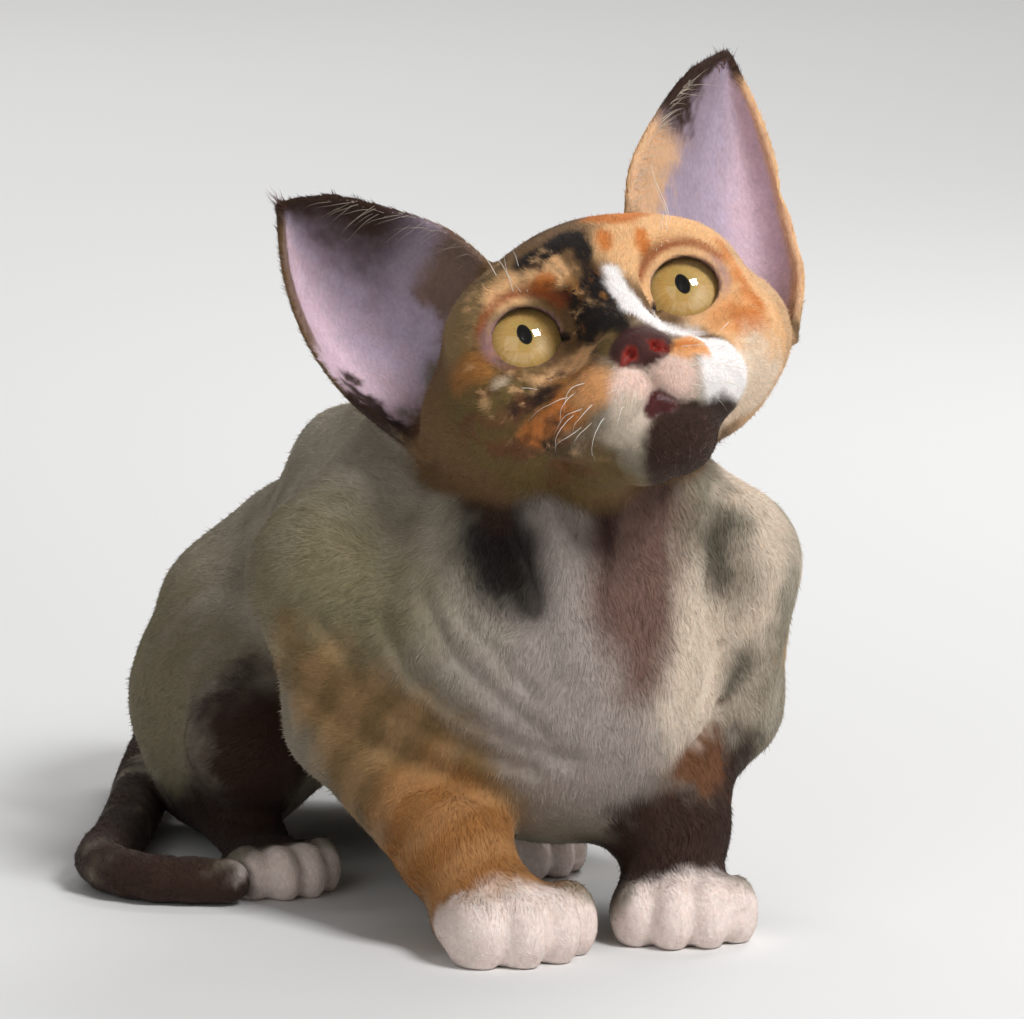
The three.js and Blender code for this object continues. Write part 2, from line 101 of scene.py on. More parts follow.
def ball(centre, radius):
    """A sphere."""
    return lambda p: length(p - centre) - radius


def bone(a, b, ra, rb):
    """A round limb from a to b whose radius runs from ra to rb."""
    a = np.array(a, float)
    d = np.array(b, float) - a

    def distance(p):
        q = p - a
        t = np.clip(q @ d / (d @ d), 0, 1)
        return length(q - t[:, None] * d) - ra - t * (rb - ra)
    return distance


def group(k, *forms):
    """Several forms blended one after another."""
    def distance(p):
        f = forms[0](p)
        for form in forms[1:]:
            f = blend(f, form(p), k)
        return f
    return distance


def within(bound, form, margin=14):
    """Works a form out only near a simple bound around it, and gives the way to that bound elsewhere."""
    def distance(p):
        f = bound(p)
        close = f < margin
        if close.any():
            f[close] = form(p[close])
        return f
    return distance


def limb(k, *joints):
    """A chain of limb lengths through joints, each given as x, y, z and radius."""
    pairs = zip(joints, joints[1:])
    return group(k, *(bone(a[:3], b[:3], a[3], b[3]) for a, b in pairs))

# %% [markdown]
# The head is modelled level and straight, with the point between the corneas at zero.
# It is turned to its raised and tilted place only when a point is looked up.
# Both halves are alike, so one half is described and the other is its mirror image.

# %% Place of the head
HEAD_AT = np.array([8.0, -64.0, 128.0])
HEAD_TURN = turned((-26.7, -17.7, -19.5))
EYE_RADIUS = 9.4
EYE_CENTRE = np.array([17.0, 9.2, 0.0])
LID_OPENING = (7.2, 6.5)
# The rim of the lids is a ring: its way out from the opening, its radius, its way before the middle
# of the eyeball, and half its thickness.
RIM_MARGIN = 0.7
RIM_RING = 6.9
RIM_AHEAD = 6.5
RIM_HALF = 0.95


def to_head(p):
    """Points of the body in the head's own axes."""
    return (p - HEAD_AT) @ HEAD_TURN


def from_head(q):
    """Points of the head's own axes in the body's."""
    return np.asarray(q, float) @ HEAD_TURN.T + HEAD_AT


def cad_shift():
    """The way from the modelling axes to the solids' own, from where the two eyeballs are."""
    middle = sum((sum(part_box(n), Vector()) for n in ("eye_left", "eye_right")), Vector()) / 4
    return np.array(middle) * 1000 - from_head([0, EYE_CENTRE[1], 0])


SHIFT = cad_shift()
print("modelling axes are moved by", SHIFT.round(2), "mm")

# %% [markdown]
# The skull is short and wide with high cheekbones, and the muzzle is small and square.
# Round eyes stand well forward, so each has a ball of lids around it and a thickened rim at the opening.
# The mouth is cut after the lips are joined, so both lips meet along it.

# %% Skull, muzzle and lids
skull = group(
    7,
    egg((0, 24, 1), (29, 31, 23.5)),
    egg((0, 7, 9), (20, 12, 10.5)),
    egg((15, 6, 8), (9.5, 8, 6.5)),
    egg((22, 13, 2), (10, 11, 12)),
    egg((22, 14, -11), (13, 15, 12)),
    egg((16, 24, -13), (15, 15, 13)),
    egg((31, 25, -5), (9, 11, 11)),
    egg((28, 38, -6), (9.5, 9.5, 9.5)),
)
muzzle = group(
    3.4,
    bone((0, 1, 1), (0, -11, -10), 7, 5.6),
    egg((6.3, -8.4, -20), (8.3, 9.5, 8.6)),
    egg((12, 0, -20), (10, 10, 9)),
    egg((0, -5, -14), (9, 10, 8)),
)
jaw = group(6, egg((0, -5.5, -31), (8.8, 8.4, 6.6)), bone((4, 0, -28.6), (10, 20, -20.5), 8, 9))
orbit = egg((17.5, -3, 0), (10.5, 8.5, 9.8))
lid_ball = egg(EYE_CENTRE, (10.5, 10.5, 10.5))
lid_opening = egg((17, 0, 0), (LID_OPENING[0], 9, LID_OPENING[1]))
lid_corner = egg((10.6, 0.6, -2.2), (2.1, 2.8, 0.9), (0, -24, 0))
eye_socket = egg(EYE_CENTRE, (EYE_RADIUS - 0.4,) * 3)
nose_leather = group(
    1.2,
    egg((0, -15.5, -14.2), (5.2, 3.4, 3.5)),
    egg((3.3, -15.2, -15.6), (2.6, 2.9, 2.5)),
)
nostril = group(
    0.5,
    egg((2.7, -18.6, -15.6), (1.3, 2.6, 1.15), (0, 25, 0)),
    bone((3.4, -18.2, -15.9), (5.0, -16.4, -17.3), 0.75, 0.4),
)
mouth_slit = limb(
    1,
    (0, -15, -22.2, 0.8),
    (5.4, -13.6, -28.4, 0.7),
    (11.5, -8, -31.8, 0.6),
    (17.5, 3, -32, 0.4),
)
philtrum = bone((0, -19.4, -17.8), (0, -18.6, -23.6), 0.55, 0.75)
lower_lip = bone((0, -12.8, -25.0), (1.8, -12.5, -26.6), 1.6, 1.3)
ear_bowl = egg((31.5, 27, 8), (7.5, 9, 15), (0, -43, 0))


def lid_rim(q):
    """The thickened rim of the lids, a round ring a little outside the opening."""
    x = (q[:, 0] - EYE_CENTRE[0]) / (LID_OPENING[0] + RIM_MARGIN)
    z = q[:, 2] / (LID_OPENING[1] + RIM_MARGIN)
    away = (np.hypot(x, z) - 1) * RIM_RING
    y = q[:, 1] - (EYE_CENTRE[1] - RIM_AHEAD)
    return np.hypot(away, y) - RIM_HALF


def folded(q):
    """Points of the head with its right half laid on the left one."""
    m = q.copy()
    m[:, 0] = np.abs(m[:, 0])
    return m


def head_form(p):
    """Head without its ears."""
    q = folded(to_head(p))
    f = blend(skull(q), muzzle(q), 6)
    f = blend(carve(f, orbit(q), 4), lid_ball(q), 4)
    f = blend(f, jaw(q), 3)
    f = blend(f, lid_rim(q), 1.0)
    f = blend(f, nose_leather(q), 1.0)
    f = carve(f, mouth_slit(q), 0.8)
    f = blend(f, lower_lip(q), 0.9)
    f = carve(carve(f, philtrum(q), 0.8), nostril(q), 0.7)
    f = carve(carve(f, eye_socket(q), 0.2), lid_opening(q), 0.5)
    f = carve(f, lid_corner(q), 0.5)
    return carve(f, ear_bowl(q), 3)

# %% [markdown]
# A cat's ear is a thin cup of gristle, and this breed's is as long as its whole head.
# It is drawn as a curved sheet between a leading edge, a spine down its back and an outer edge.
# The distance to that sheet, less half a thickness, is a cup whose root melts into the head like the rest.

# %% Ears
EAR_LINES = (
    ((14, 18, 18), (20.5, 20, 31.4), (30.3, 24, 41.5), (39.6, 26, 48.3), (49.5, 31, 52.1)),
    ((30, 43, 2), (38, 47, 18), (43, 46, 32), (47, 40, 43), (49.5, 31, 52.1)),
    ((39, 27, -11), (46.5, 31, 3), (49.5, 38, 13), (51.8, 41, 25), (52.2, 38, 38), (49.5, 31, 52.1)),
)
EAR_ROOT = np.array([30.0, 27.0, 2.0])
EAR_STRETCH = {"left": 1.05, "right": 1.0}


def through(points, t):
    """Points at the shares t, 0 to 1, of a smooth curve through the given ones."""
    p = np.array(points, float)
    p = np.vstack([2 * p[0] - p[1], p, 2 * p[-1] - p[-2]])
    at = np.clip(np.asarray(t, float), 0, 1) * (len(points) - 1)
    i = np.minimum(at.astype(int), len(points) - 2)
    w = (at - i)[:, None]
    a, b, c, d = (p[i + s] for s in range(4))
    da, db, dc = (np.sqrt(length(y - x))[:, None] for x, y in ((a, b), (b, c), (c, d)))
    m1 = ((b - a) / da - (c - a) / (da + db) + (c - b) / db) * db
    m2 = ((c - b) / db - (d - b) / (db + dc) + (d - c) / dc) * db
    return b + w * (m1 + w * (3 * (c - b) - 2 * m1 - m2 + w * (2 * (b - c) + m1 + m2)))


def ear_sheet(stretch, rows, columns):
    """Points of the ear's middle sheet in the head's axes, with the share along it and across it."""
    u, v = np.meshgrid(np.linspace(0.02, 0.985, rows), np.linspace(-1, 1, columns), indexing="ij")
    u, v = u.ravel(), v.ravel()
    lead, spine, outer = (through(line, u) for line in EAR_LINES)
    flat = lead * ((1 - v) / 2)[:, None] + outer * ((1 + v) / 2)[:, None]
    p = flat + (spine - (lead + outer) / 2) * (1 - np.abs(v) ** 2.3)[:, None]
    return EAR_ROOT + (p - EAR_ROOT) * stretch, u, v


class Ear:
    """One ear as a distance, and the share along and across it of the nearest point."""

    def __init__(self, side, rows=56, columns=64):
        self.side = 1 if side == "left" else -1
        p, u, v = ear_sheet(EAR_STRETCH[side], rows, columns)
        ends = [from_head(np.array(end) * (self.side, 1, 1)) for end in ((28, 28, 2), (51, 33, 54))]
        self.bound = bone(*ends, 30, 15)
        n = np.arange((rows - 1) * columns).reshape(rows - 1, columns)[:, :-1].ravel()
        quads = np.stack([n, n + 1, n + columns + 1, n + columns], 1)
        self.tree = BVHTree.FromPolygons(p.tolist(), quads.tolist())
        self.u = u[quads].mean(1)
        self.v = v[quads].mean(1)
        # About 2 mm thick, and thinner towards both edges.
        self.half = 0.5 * (2.1 - 0.5 * np.abs(self.v) ** 3 - 0.1 * self.u)
        rim_to_spine = EAR_LINES[0][2] + np.array(EAR_LINES[2][2]) - 2 * np.array(EAR_LINES[1][2])
        self.turn = np.sign(self.tree.find_nearest(EAR_LINES[1][2])[1] @ Vector(rim_to_spine))
        past = self.bound(from_head(p * (self.side, 1, 1))).max()
        print(side, "ear leaves its bound by", round(float(past), 1), "mm")

    def nearest(self, p):
        """Way into the cup at the nearest point of the sheet, the face it lies on and how far it is."""
        q = to_head(p)
        q[:, 0] *= self.side
        found = [self.tree.find_nearest(x) for x in q]
        face = np.array([f[2] for f in found])
        return np.array([f[1] for f in found]) * self.turn, face, np.array([f[3] for f in found])

    def inside(self, into, out):
        """How much points whose outward normals are out belong to the hollow of the cup, 0 to 1."""
        out = (out @ HEAD_TURN) * (self.side, 1, 1)
        return rise(0.5 + 2 * np.einsum("ij,ij->i", out, into))

    def __call__(self, p):
        _, face, away = self.nearest(p)
        return away - self.half[face]


ears = {side: Ear(side) for side in ("left", "right")}
ear_forms = [within(ear.bound, ear, margin=3) for ear in ears.values()]
head_part = within(ball(from_head((0, 16, -5)), 42), head_form)

# %% [markdown]
# The body is low and folded: the chest hangs between bent elbows, and the haunches lie beside the feet.
# Every muscle mass is one egg, every limb a chain of lengths that thin towards the foot.
# A soft join of 16 mm hides where the masses meet, and a tight one keeps the toes apart.

# %% Trunk and neck
trunk = group(
    16,
    egg((4, -28, 54), (39, 40, 35), (0, 0, -20)),
    egg((7, -50, 45), (27, 22, 27), (0, 0, -20)),
    egg((3, 8, 56), (33, 46, 34)),
    egg((6, 44, 48), (28, 40, 37)),
    egg((4, 78, 41), (25, 30, 32)),
    bone((0, -25, 88), (2, 20, 90), 8, 8),
    bone((2, 20, 90), (2, 52, 84), 8, 9),
)
neck = group(10, bone((18, -40, 103), (6, -40, 76), 19, 27), bone((16, -28, 106), (2, -8, 86), 14, 18))
thighs = group(
    8,
    egg((-24.5, 56, 28), (16, 34, 24), (0, 0, 8)),
    egg((25, 56, 30), (16, 34, 25), (0, 0, -8)),
)
throat_cords = group(
    2,
    bone((-5.2, -56, 92), (-1.5, -63.5, 75), 6, 5.4),
    bone((-1.5, -63.5, 75), (-1.2, -69, 57), 5.4, 4),
    bone((31, -51.5, 90), (28.5, -57.5, 75), 4.5, 4),
    bone((28.5, -57.5, 75), (25, -65.5, 57), 4, 3),
)
throat_hollows = group(
    1,
    egg((-14, -62.5, 78), (10.5, 8, 13.5), (0, -12, 0)),
    egg((36.5, -62.5, 74), (5, 5, 11), (0, 8, 0)),
)
throat_channel = limb(2, (18, -67, 92, 6.5), (15.5, -69, 81, 6.5), (11.5, -74, 66, 5.5), (11, -79, 54, 5))


def crease(depth, width, *path):
    """A soft fold line along a path, as how far it sinks the skin."""
    line = limb(1, *((*p, 0.0) for p in path))
    return lambda p: depth * np.exp(-(line(p) / width) ** 2)


CREASES = (
    crease(2.7, 2.5, (-44, -20, 54), (-39, -33, 43), (-32, -48, 37), (-24, -58, 33.6), (-13, -66, 29)),
    crease(2.1, 2.1, (-41, -32, 62), (-35, -38, 52), (-29, -50, 46), (-22, -59, 41), (-10, -67, 36)),
    crease(1.8, 2.1, (-32, -42, 64), (-29, -50, 55), (-23, -59, 48), (-15, -66, 42), (-3, -71, 38)),
    crease(1.4, 1.9, (-26, -49, 70), (-24, -57, 60), (-17, -66, 51), (-8, -70, 43)),
    crease(1.1, 1.6, (-21, -57, 67), (-17, -64, 60), (-11, -69, 52)),
    crease(3.2, 2.8, (-43, -2, 66), (-45, -12, 52), (-44, -19, 40)),
    crease(2.2, 2.4, (44, -34, 62), (42, -48, 50), (34, -60, 42), (24, -66, 38)),
    crease(1.6, 2.1, (40, -50, 64), (34, -60, 54), (26, -67, 47)),
    crease(3.0, 2.8, (44, -8, 64), (45, -18, 50), (43, -24, 38)),
    crease(2.2, 3.2, (-30, 30, 70), (-38, 24, 54), (-39, 12, 44)),
    crease(2.2, 3.2, (30, 30, 70), (38, 24, 54), (39, 12, 44)),
)

# %% Legs, paws and tail
def paw(at, heading, half, long):
    """A paw from its place on the floor, its heading in degrees and its half width."""
    t = math.radians(heading)

    def place(side, ahead, up):
        return (at[0] + side * math.cos(t) + ahead * math.sin(t),
                at[1] + side * math.sin(t) - ahead * math.cos(t), up)
    palm = egg(place(0, -long * 0.1, half * 0.4), (half * 0.9, long * 0.78, half * 0.5), (0, 0, heading))
    toes = []
    for spread in (-0.72, -0.26, 0.26, 0.72):
        ahead = long * (0.55 if abs(spread) < 0.5 else 0.3)
        centre = place(spread * half, ahead, half * 0.4)
        turn = (0, 0, heading - spread * 12)
        toes.append(egg(centre, (half * 0.31, long * 0.43, half * 0.5), turn))
    knuckles = group(1.6, *toes)
    whole = group(half * 0.24, palm, knuckles)
    return within(ball(place(0, 0, half * 0.4), half * 1.5), whole)


def leg(k, toe, *joints):
    """A leg with its paw."""
    shaft = limb(k / 2, *joints)
    return lambda p: blend(shaft(p), toe(p), 5)


legs = (
    leg(8, paw((-17.5, -72), 10, 16, 17),
        (-14, -12, 92, 11), (-34, -18, 70, 15), (-29, -20, 40, 13), (-23, -58, 19, 10.5),
        (-20, -70, 9, 9.5)),
    leg(8, paw((21, -72), -16, 14.5, 16),
        (24, -34, 93, 12), (43, -45, 71, 16), (43, -42, 42, 14), (36, -40, 34, 13), (25, -60, 20, 11),
        (21, -68, 9, 9.5)),
    leg(10, paw((-36, 4), 4, 12, 15),
        (-14, 82, 46, 15), (-34, 20, 28, 12.5), (-28, 62, 12, 8), (-34, 20, 7.5, 7)),
    leg(10, paw((19, 0), 6, 12, 15),
        (12, 84, 54, 17), (34, 20, 28, 13), (30, 62, 12, 8), (22, 14, 7.5, 7)),
)
TAIL_LINE = ((-3, 104, 38), (-9, 117, 22), (-20, 109, 9), (-32, 88, 6.6), (-44, 64, 6), (-57, 40, 5.7),
             (-69, 19, 5.5), (-65, 4, 5.2), (-51, -6, 5))
TAIL_RADIUS = (7.2, 4.6)


def even(points, count):
    """The same number of equal steps along a smooth curve."""
    fine = through(points, np.linspace(0, 1, 400))
    run = np.concatenate([[0], np.cumsum(length(np.diff(fine, axis=0)))])
    steps = np.linspace(0, run[-1], count + 1)
    return np.stack([np.interp(steps, run, fine[:, x]) for x in range(3)], 1)


tail_path = even(TAIL_LINE, 24)
tail_radii = np.linspace(*TAIL_RADIUS, 25)
tail_joints = [(*p, r) for p, r in zip(tail_path, tail_radii)]
tail_root = limb(2, *tail_joints[:6])
tail_part = within(limb(1, *tail_joints[::6]), limb(1, *tail_joints))
print("tail is", round(float(length(np.diff(tail_path, axis=0)).sum())), "mm long")


def flesh(p):
    """The whole animal under its coat, resting on the floor."""
    f = blend(trunk(p), thighs(p), 10)
    f = blend(f, np.minimum.reduce([part(p) for part in legs]), 9)
    f = blend(f, neck(p), 10)
    f = blend(carve(f, throat_hollows(p), 5), throat_cords(p), 3)
    f = carve(f, throat_channel(p), 2.5)
    near = np.flatnonzero((np.abs(f) < 8) & (p[:, 2] > 20) & (p[:, 2] < 86))
    f[near] += sum(fold(p[near]) for fold in CREASES)
    f = blend(f, head_part(p), 4)
    f = blend(f, tail_root(p), 6)
    f = np.minimum(f, tail_part(p))
    for ear in ear_forms:
        f = blend(f, ear(p), 3.2)
    return np.maximum(f, 0.1 - p[:, 2])

# %% [markdown]
# A distance becomes a mesh on a grid: where its sign changes inside a cell, the cell gets a vertex.
# The grid is fine over the face and paws and coarse over the back, so the triangles go where the eye does.
# Only blocks near the surface are worked out.
# A cell that two sheets cross, as at the thin edge of an ear, gets two vertices.

# %% Grid
def graded(start, *spans):
    """Positions from start through spans of (end, step)."""
    line = [start]
    for end, step in spans:
        count = max(1, round((end - line[-1]) / step))
        line.extend(np.linspace(line[-1], end, count + 1)[1:])
    return np.array(line)


COARSE = 1.135
AXES = (
    graded(-77, (-52, 1.7 * COARSE), (66, 0.86 * COARSE), (72, 1.6 * COARSE)),
    graded(-95, (-12, 0.84 * COARSE), (0, 1.3 * COARSE), (126, 2.1 * COARSE)),
    graded(-2, (26, 1.05 * COARSE), (82, 1.45 * COARSE), (93, 1.0 * COARSE), (193, 0.84 * COARSE)),
)
BLOCK = 8
FAR = 99.0


def in_parts(form, p, size=300000):
    """A form worked out for many points, some at a time."""
    return np.concatenate([form(p[i:i + size]) for i in range(0, len(p), size)])


def sample(form, axes):
    """The form on the grid, exact near its surface and only signed elsewhere."""
    counts = [len(a) for a in axes]
    value = np.full(counts, FAR, np.float32)
    starts = [np.arange(0, n, BLOCK) for n in counts]
    corners = np.array(np.meshgrid(*starts, indexing="ij")).reshape(3, -1).T
    low = np.stack([axes[x][corners[:, x]] for x in range(3)], 1)
    last = [np.minimum(corners[:, x] + BLOCK, counts[x] - 1) for x in range(3)]
    high = np.stack([axes[x][last[x]] for x in range(3)], 1)
    reach = length(high - low) / 2
    middle = in_parts(form, (low + high) / 2)
    steps = np.array(np.meshgrid(*(np.arange(BLOCK),) * 3, indexing="ij")).reshape(3, -1).T
    wanted = []
    # Blended forms aren't exact distances, so a block counts as near with some room to spare.
    for corner, f, r in zip(corners, middle, reach):
        if abs(f) < 1.35 * r + 1.5:
            wanted.append(corner + steps)
        elif f < 0:
            value[tuple(slice(c, c + BLOCK) for c in corner)] = -FAR
    wanted = np.concatenate(wanted)
    wanted = wanted[(wanted < counts).all(1)]
    points = np.stack([axes[x][wanted[:, x]] for x in range(3)], 1)
    value[tuple(wanted.T)] = in_parts(form, points)
    print(len(points), "grid points worked out of", value.size)
    return value


# %% Sheets of the surface in one cell
CORNERS = np.array([[c & 1, c >> 1 & 1, c >> 2 & 1] for c in range(8)])
EDGES = [(a, a | 1 << s, s) for a in range(8) for s in range(3) if not CORNERS[a][s]]
EDGE_AT = {(a, s): e for e, (a, b, s) in enumerate(EDGES)}


def sheets_of(pattern):
    """Which sheet crosses each edge of a cell, for one pattern of inside corners, or -1."""
    inside = [bool(pattern >> c & 1) for c in range(8)]
    label = list(range(8))

    def join(a, b):
        old, new = label[a], label[b]
        label[:] = [new if x == old else x for x in label]
    for a, b, _ in EDGES:
        if inside[a] == inside[b]:
            join(a, b)
    for a in range(8):
        for across in (3, 5, 6):
            if not inside[a] and not inside[a ^ across]:
                join(a, a ^ across)
    numbers = {}
    sheets = []
    for a, b, _ in EDGES:
        pair = (label[a], label[b]) if inside[a] else (label[b], label[a])
        sheets.append(-1 if inside[a] == inside[b] else numbers.setdefault(pair, len(numbers)))
    return sheets


SHEETS = np.array([sheets_of(pattern) for pattern in range(256)])


# %% From grid to surface
def surface(form, axes):
    """Points and four-sided faces of the zero surface of a form."""
    value = sample(form, axes)
    inside = value < 0
    shape = np.array(value.shape) - 1
    pattern = np.zeros(shape, np.uint8)
    for c, (i, j, k) in enumerate(CORNERS):
        pattern |= inside[i:shape[0] + i, j:shape[1] + j, k:shape[2] + k].astype(np.uint8) << c
    cells = np.argwhere((pattern > 0) & (pattern < 255))
    number = np.full(shape, -1)
    number[tuple(cells.T)] = np.arange(len(cells))
    sheet = SHEETS[pattern[tuple(cells.T)]]
    many = sheet.max(1) + 1
    first = np.cumsum(many) - many
    vertex = np.where(sheet >= 0, first[:, None] + sheet, -1)
    total = int(many.sum())
    points = np.zeros((total, 3))
    hits = np.zeros(total)
    for e, (a, b, s) in enumerate(EDGES):
        rows = np.flatnonzero(sheet[:, e] >= 0)
        at = cells[rows] + CORNERS[a]
        on = cells[rows] + CORNERS[b]
        va, vb = value[tuple(at.T)], value[tuple(on.T)]
        p = np.stack([axes[x][at[:, x]] for x in range(3)], 1)
        p[:, s] += va / (va - vb) * (axes[s][on[:, s]] - axes[s][at[:, s]])
        for x in range(3):
            points[:, x] += np.bincount(vertex[rows, e], p[:, x], total)
        hits += np.bincount(vertex[rows, e], minlength=total)
    points /= hits[:, None]
    quads = []
    for s in range(3):
        t, w = (s + 1) % 3, (s + 2) % 3
        here = [slice(None, -1) if x == s else slice(1, -1) for x in range(3)]
        ahead = [slice(1, None) if x == s else slice(1, -1) for x in range(3)]
        crossed = np.argwhere(inside[tuple(here)] != inside[tuple(ahead)])
        crossed[:, t] += 1
        crossed[:, w] += 1
        ring = []
        for dt, dw in ((1, 1), (0, 1), (0, 0), (1, 0)):
            cell = crossed.copy()
            cell[:, t] -= dt
            cell[:, w] -= dw
            ring.append(vertex[number[tuple(cell.T)], EDGE_AT[dt << t | dw << w, s]])
        ring = np.stack(ring, 1)
        out = inside[tuple(crossed.T)]
        quads.append(np.where(out[:, None], ring, ring[:, ::-1]))
    return settle(form, points), np.concatenate(quads)


def slope(form, p, h=0.04):
    """Value and gradient of a form at points."""
    f = in_parts(form, p)
    ahead = [in_parts(form, p + h * np.eye(3)[x]) for x in range(3)]
    return f, (np.stack(ahead, 1) - f[:, None]) / h


def settle(form, points, turns=2, most=0.5):
    """Points moved onto the surface along its slope, none by more than a given way."""
    p = points.copy()
    for _ in range(turns):
        f, g = slope(form, p)
        step = f / np.maximum(np.einsum("ij,ij->i", g, g), 0.15)
        p -= step[:, None] * g
    moved = p - points
    far = length(moved)
    keep = np.minimum(1, most / np.maximum(far, 1e-9))
    return points + moved * keep[:, None]


skin_points, skin_quads = surface(flesh, AXES)
print(len(skin_points), "points and", 2 * len(skin_quads), "triangles of skin")

# %% Skin object
def mesh_piece(name, points, faces, material=None):
    """A smooth-shaded mesh object from points in millimetres of the modelling axes."""
    mesh = bpy.data.meshes.new(name)
    points = (np.asarray(points, float) + SHIFT) * 0.001
    faces = np.asarray(faces, np.int32)
    sides = faces.shape[1]
    mesh.vertices.add(len(points))
    mesh.vertices.foreach_set("co", points.astype(np.float32).ravel())
    mesh.loops.add(faces.size)
    mesh.loops.foreach_set("vertex_index", faces.ravel())
    mesh.polygons.add(len(faces))
    mesh.polygons.foreach_set("loop_start", np.arange(len(faces), dtype=np.int32) * sides)
    mesh.update(calc_edges=True)
    mesh.shade_smooth()
    if material:
        mesh.materials.append(material)
    piece = bpy.data.objects.new(name, mesh)
    bpy.context.scene.collection.objects.link(piece)
    return piece


skin = mesh_piece("skin", skin_points, skin_quads)

# %% [markdown]
# This cat is a tortoiseshell with white: ragged patches of black, orange and white over smoky grey.
# A painted picture could carry them, but the hairs need the same colours as the skin below them.
# So each marking is one more soft form, and a point's colour comes from the forms that it is in.
# The same function colours the skin and later every tuft, and noise frays the edges.

# %% Colours and noise
def tone(red, green, blue):
    """A colour in display values, 0 to 255, as light values."""
    c = np.array([red, green, blue]) / 255
    return np.where(c <= 0.04045, c / 12.92, ((c + 0.055) / 1.055) ** 2.4)


SMOKE = tone(130, 121, 103)
PALE_SMOKE = tone(158, 149, 133)
# The deepest smoke is a real tone of the coat, and also the colour of painted shadow in hollows of the
# chest.
DEEP_SMOKE_AND_SHADE = tone(80, 74, 60)
CREAM = tone(226, 180, 130)
ORANGE = tone(202, 124, 60)
RUST = tone(146, 70, 30)
OLIVE = tone(104, 84, 46)
BROWN = tone(50, 30, 20)
BLACK = tone(24, 16, 13)
WHITE = tone(240, 234, 232)
CHALK = tone(154, 143, 136)
BLUSH = tone(226, 196, 182)
THROAT_PINK = tone(110, 84, 74)
# Painted shade for the sides of the groove down the throat.
THROAT_GROOVE_SHADE = tone(58, 36, 32)
MOSS = tone(122, 113, 86)
OCHRE = tone(158, 106, 52)
APRICOT = tone(222, 162, 106)
SAND = tone(138, 112, 74)
DUSK = tone(104, 66, 40)
BEIGE = tone(206, 168, 128)
TAN = tone(150, 100, 50)
LOAM = tone(124, 98, 62)
PAW_WHITE = tone(236, 220, 212)
UMBER = tone(112, 84, 54)
IVORY = tone(228, 206, 182)
MILK = tone(206, 190, 172)
LEATHER = tone(66, 32, 28)
NOSTRIL_RED = tone(150, 34, 20)
LIP_RED = tone(70, 22, 22)
LID_MAUVE = tone(150, 112, 118)
EAR_LILAC = tone(198, 184, 206)
EAR_PAINTED_SHADE = tone(112, 92, 96)
EAR_PINK = tone(216, 190, 202)


def ripple(p, size, seed):
    """Smooth noise from -1 to 1 whose lumps are about size mm wide."""
    q = p / size + seed * 19.7
    cell = np.floor(q)
    w = q - cell
    w = w * w * (3 - 2 * w)
    total = np.zeros(len(p))
    # The last digits of a large sine stand for a random value at each corner of a cell.
    for corner in CORNERS:
        h = np.sin((cell + corner) @ (127.1, 311.7, 74.7) + seed * 3.1) * 43758.5453
        total += np.prod(np.where(corner, w, 1 - w), axis=1) * (h - np.floor(h))
    return 2 * total - 1


def fray(p, seed):
    """Noise in three sizes, for the ragged edge of a marking."""
    return ripple(p, 5.0, seed) + 0.6 * ripple(p, 2.2, seed + 1) + 0.45 * ripple(p, 1.0, seed + 2)


def rise(x):
    """Smooth step from 0 to 1 as x goes from 0 to 1."""
    x = np.clip(x, 0, 1)
    return x * x * (3 - 2 * x)


def share(distance, soft):
    """How much of a form covers a point: 1 well inside, 0 well outside."""
    return rise((soft - distance) / (2 * soft))


def mixed(colour, other, amount):
    """One colour turned into another by an amount from 0 to 1 for each point."""
    return colour + (other - colour) * amount[:, None]

# %% [markdown]
# The face carries the finest markings.
# Black runs from the crown between the eyes to the nose, with cream spots in it.
# A narrow white blaze follows it and turns over the left side of the muzzle, and the chin is dark.
# Places are in the head's own axes, so the cat's left eye is at +17 and its right eye at -17.

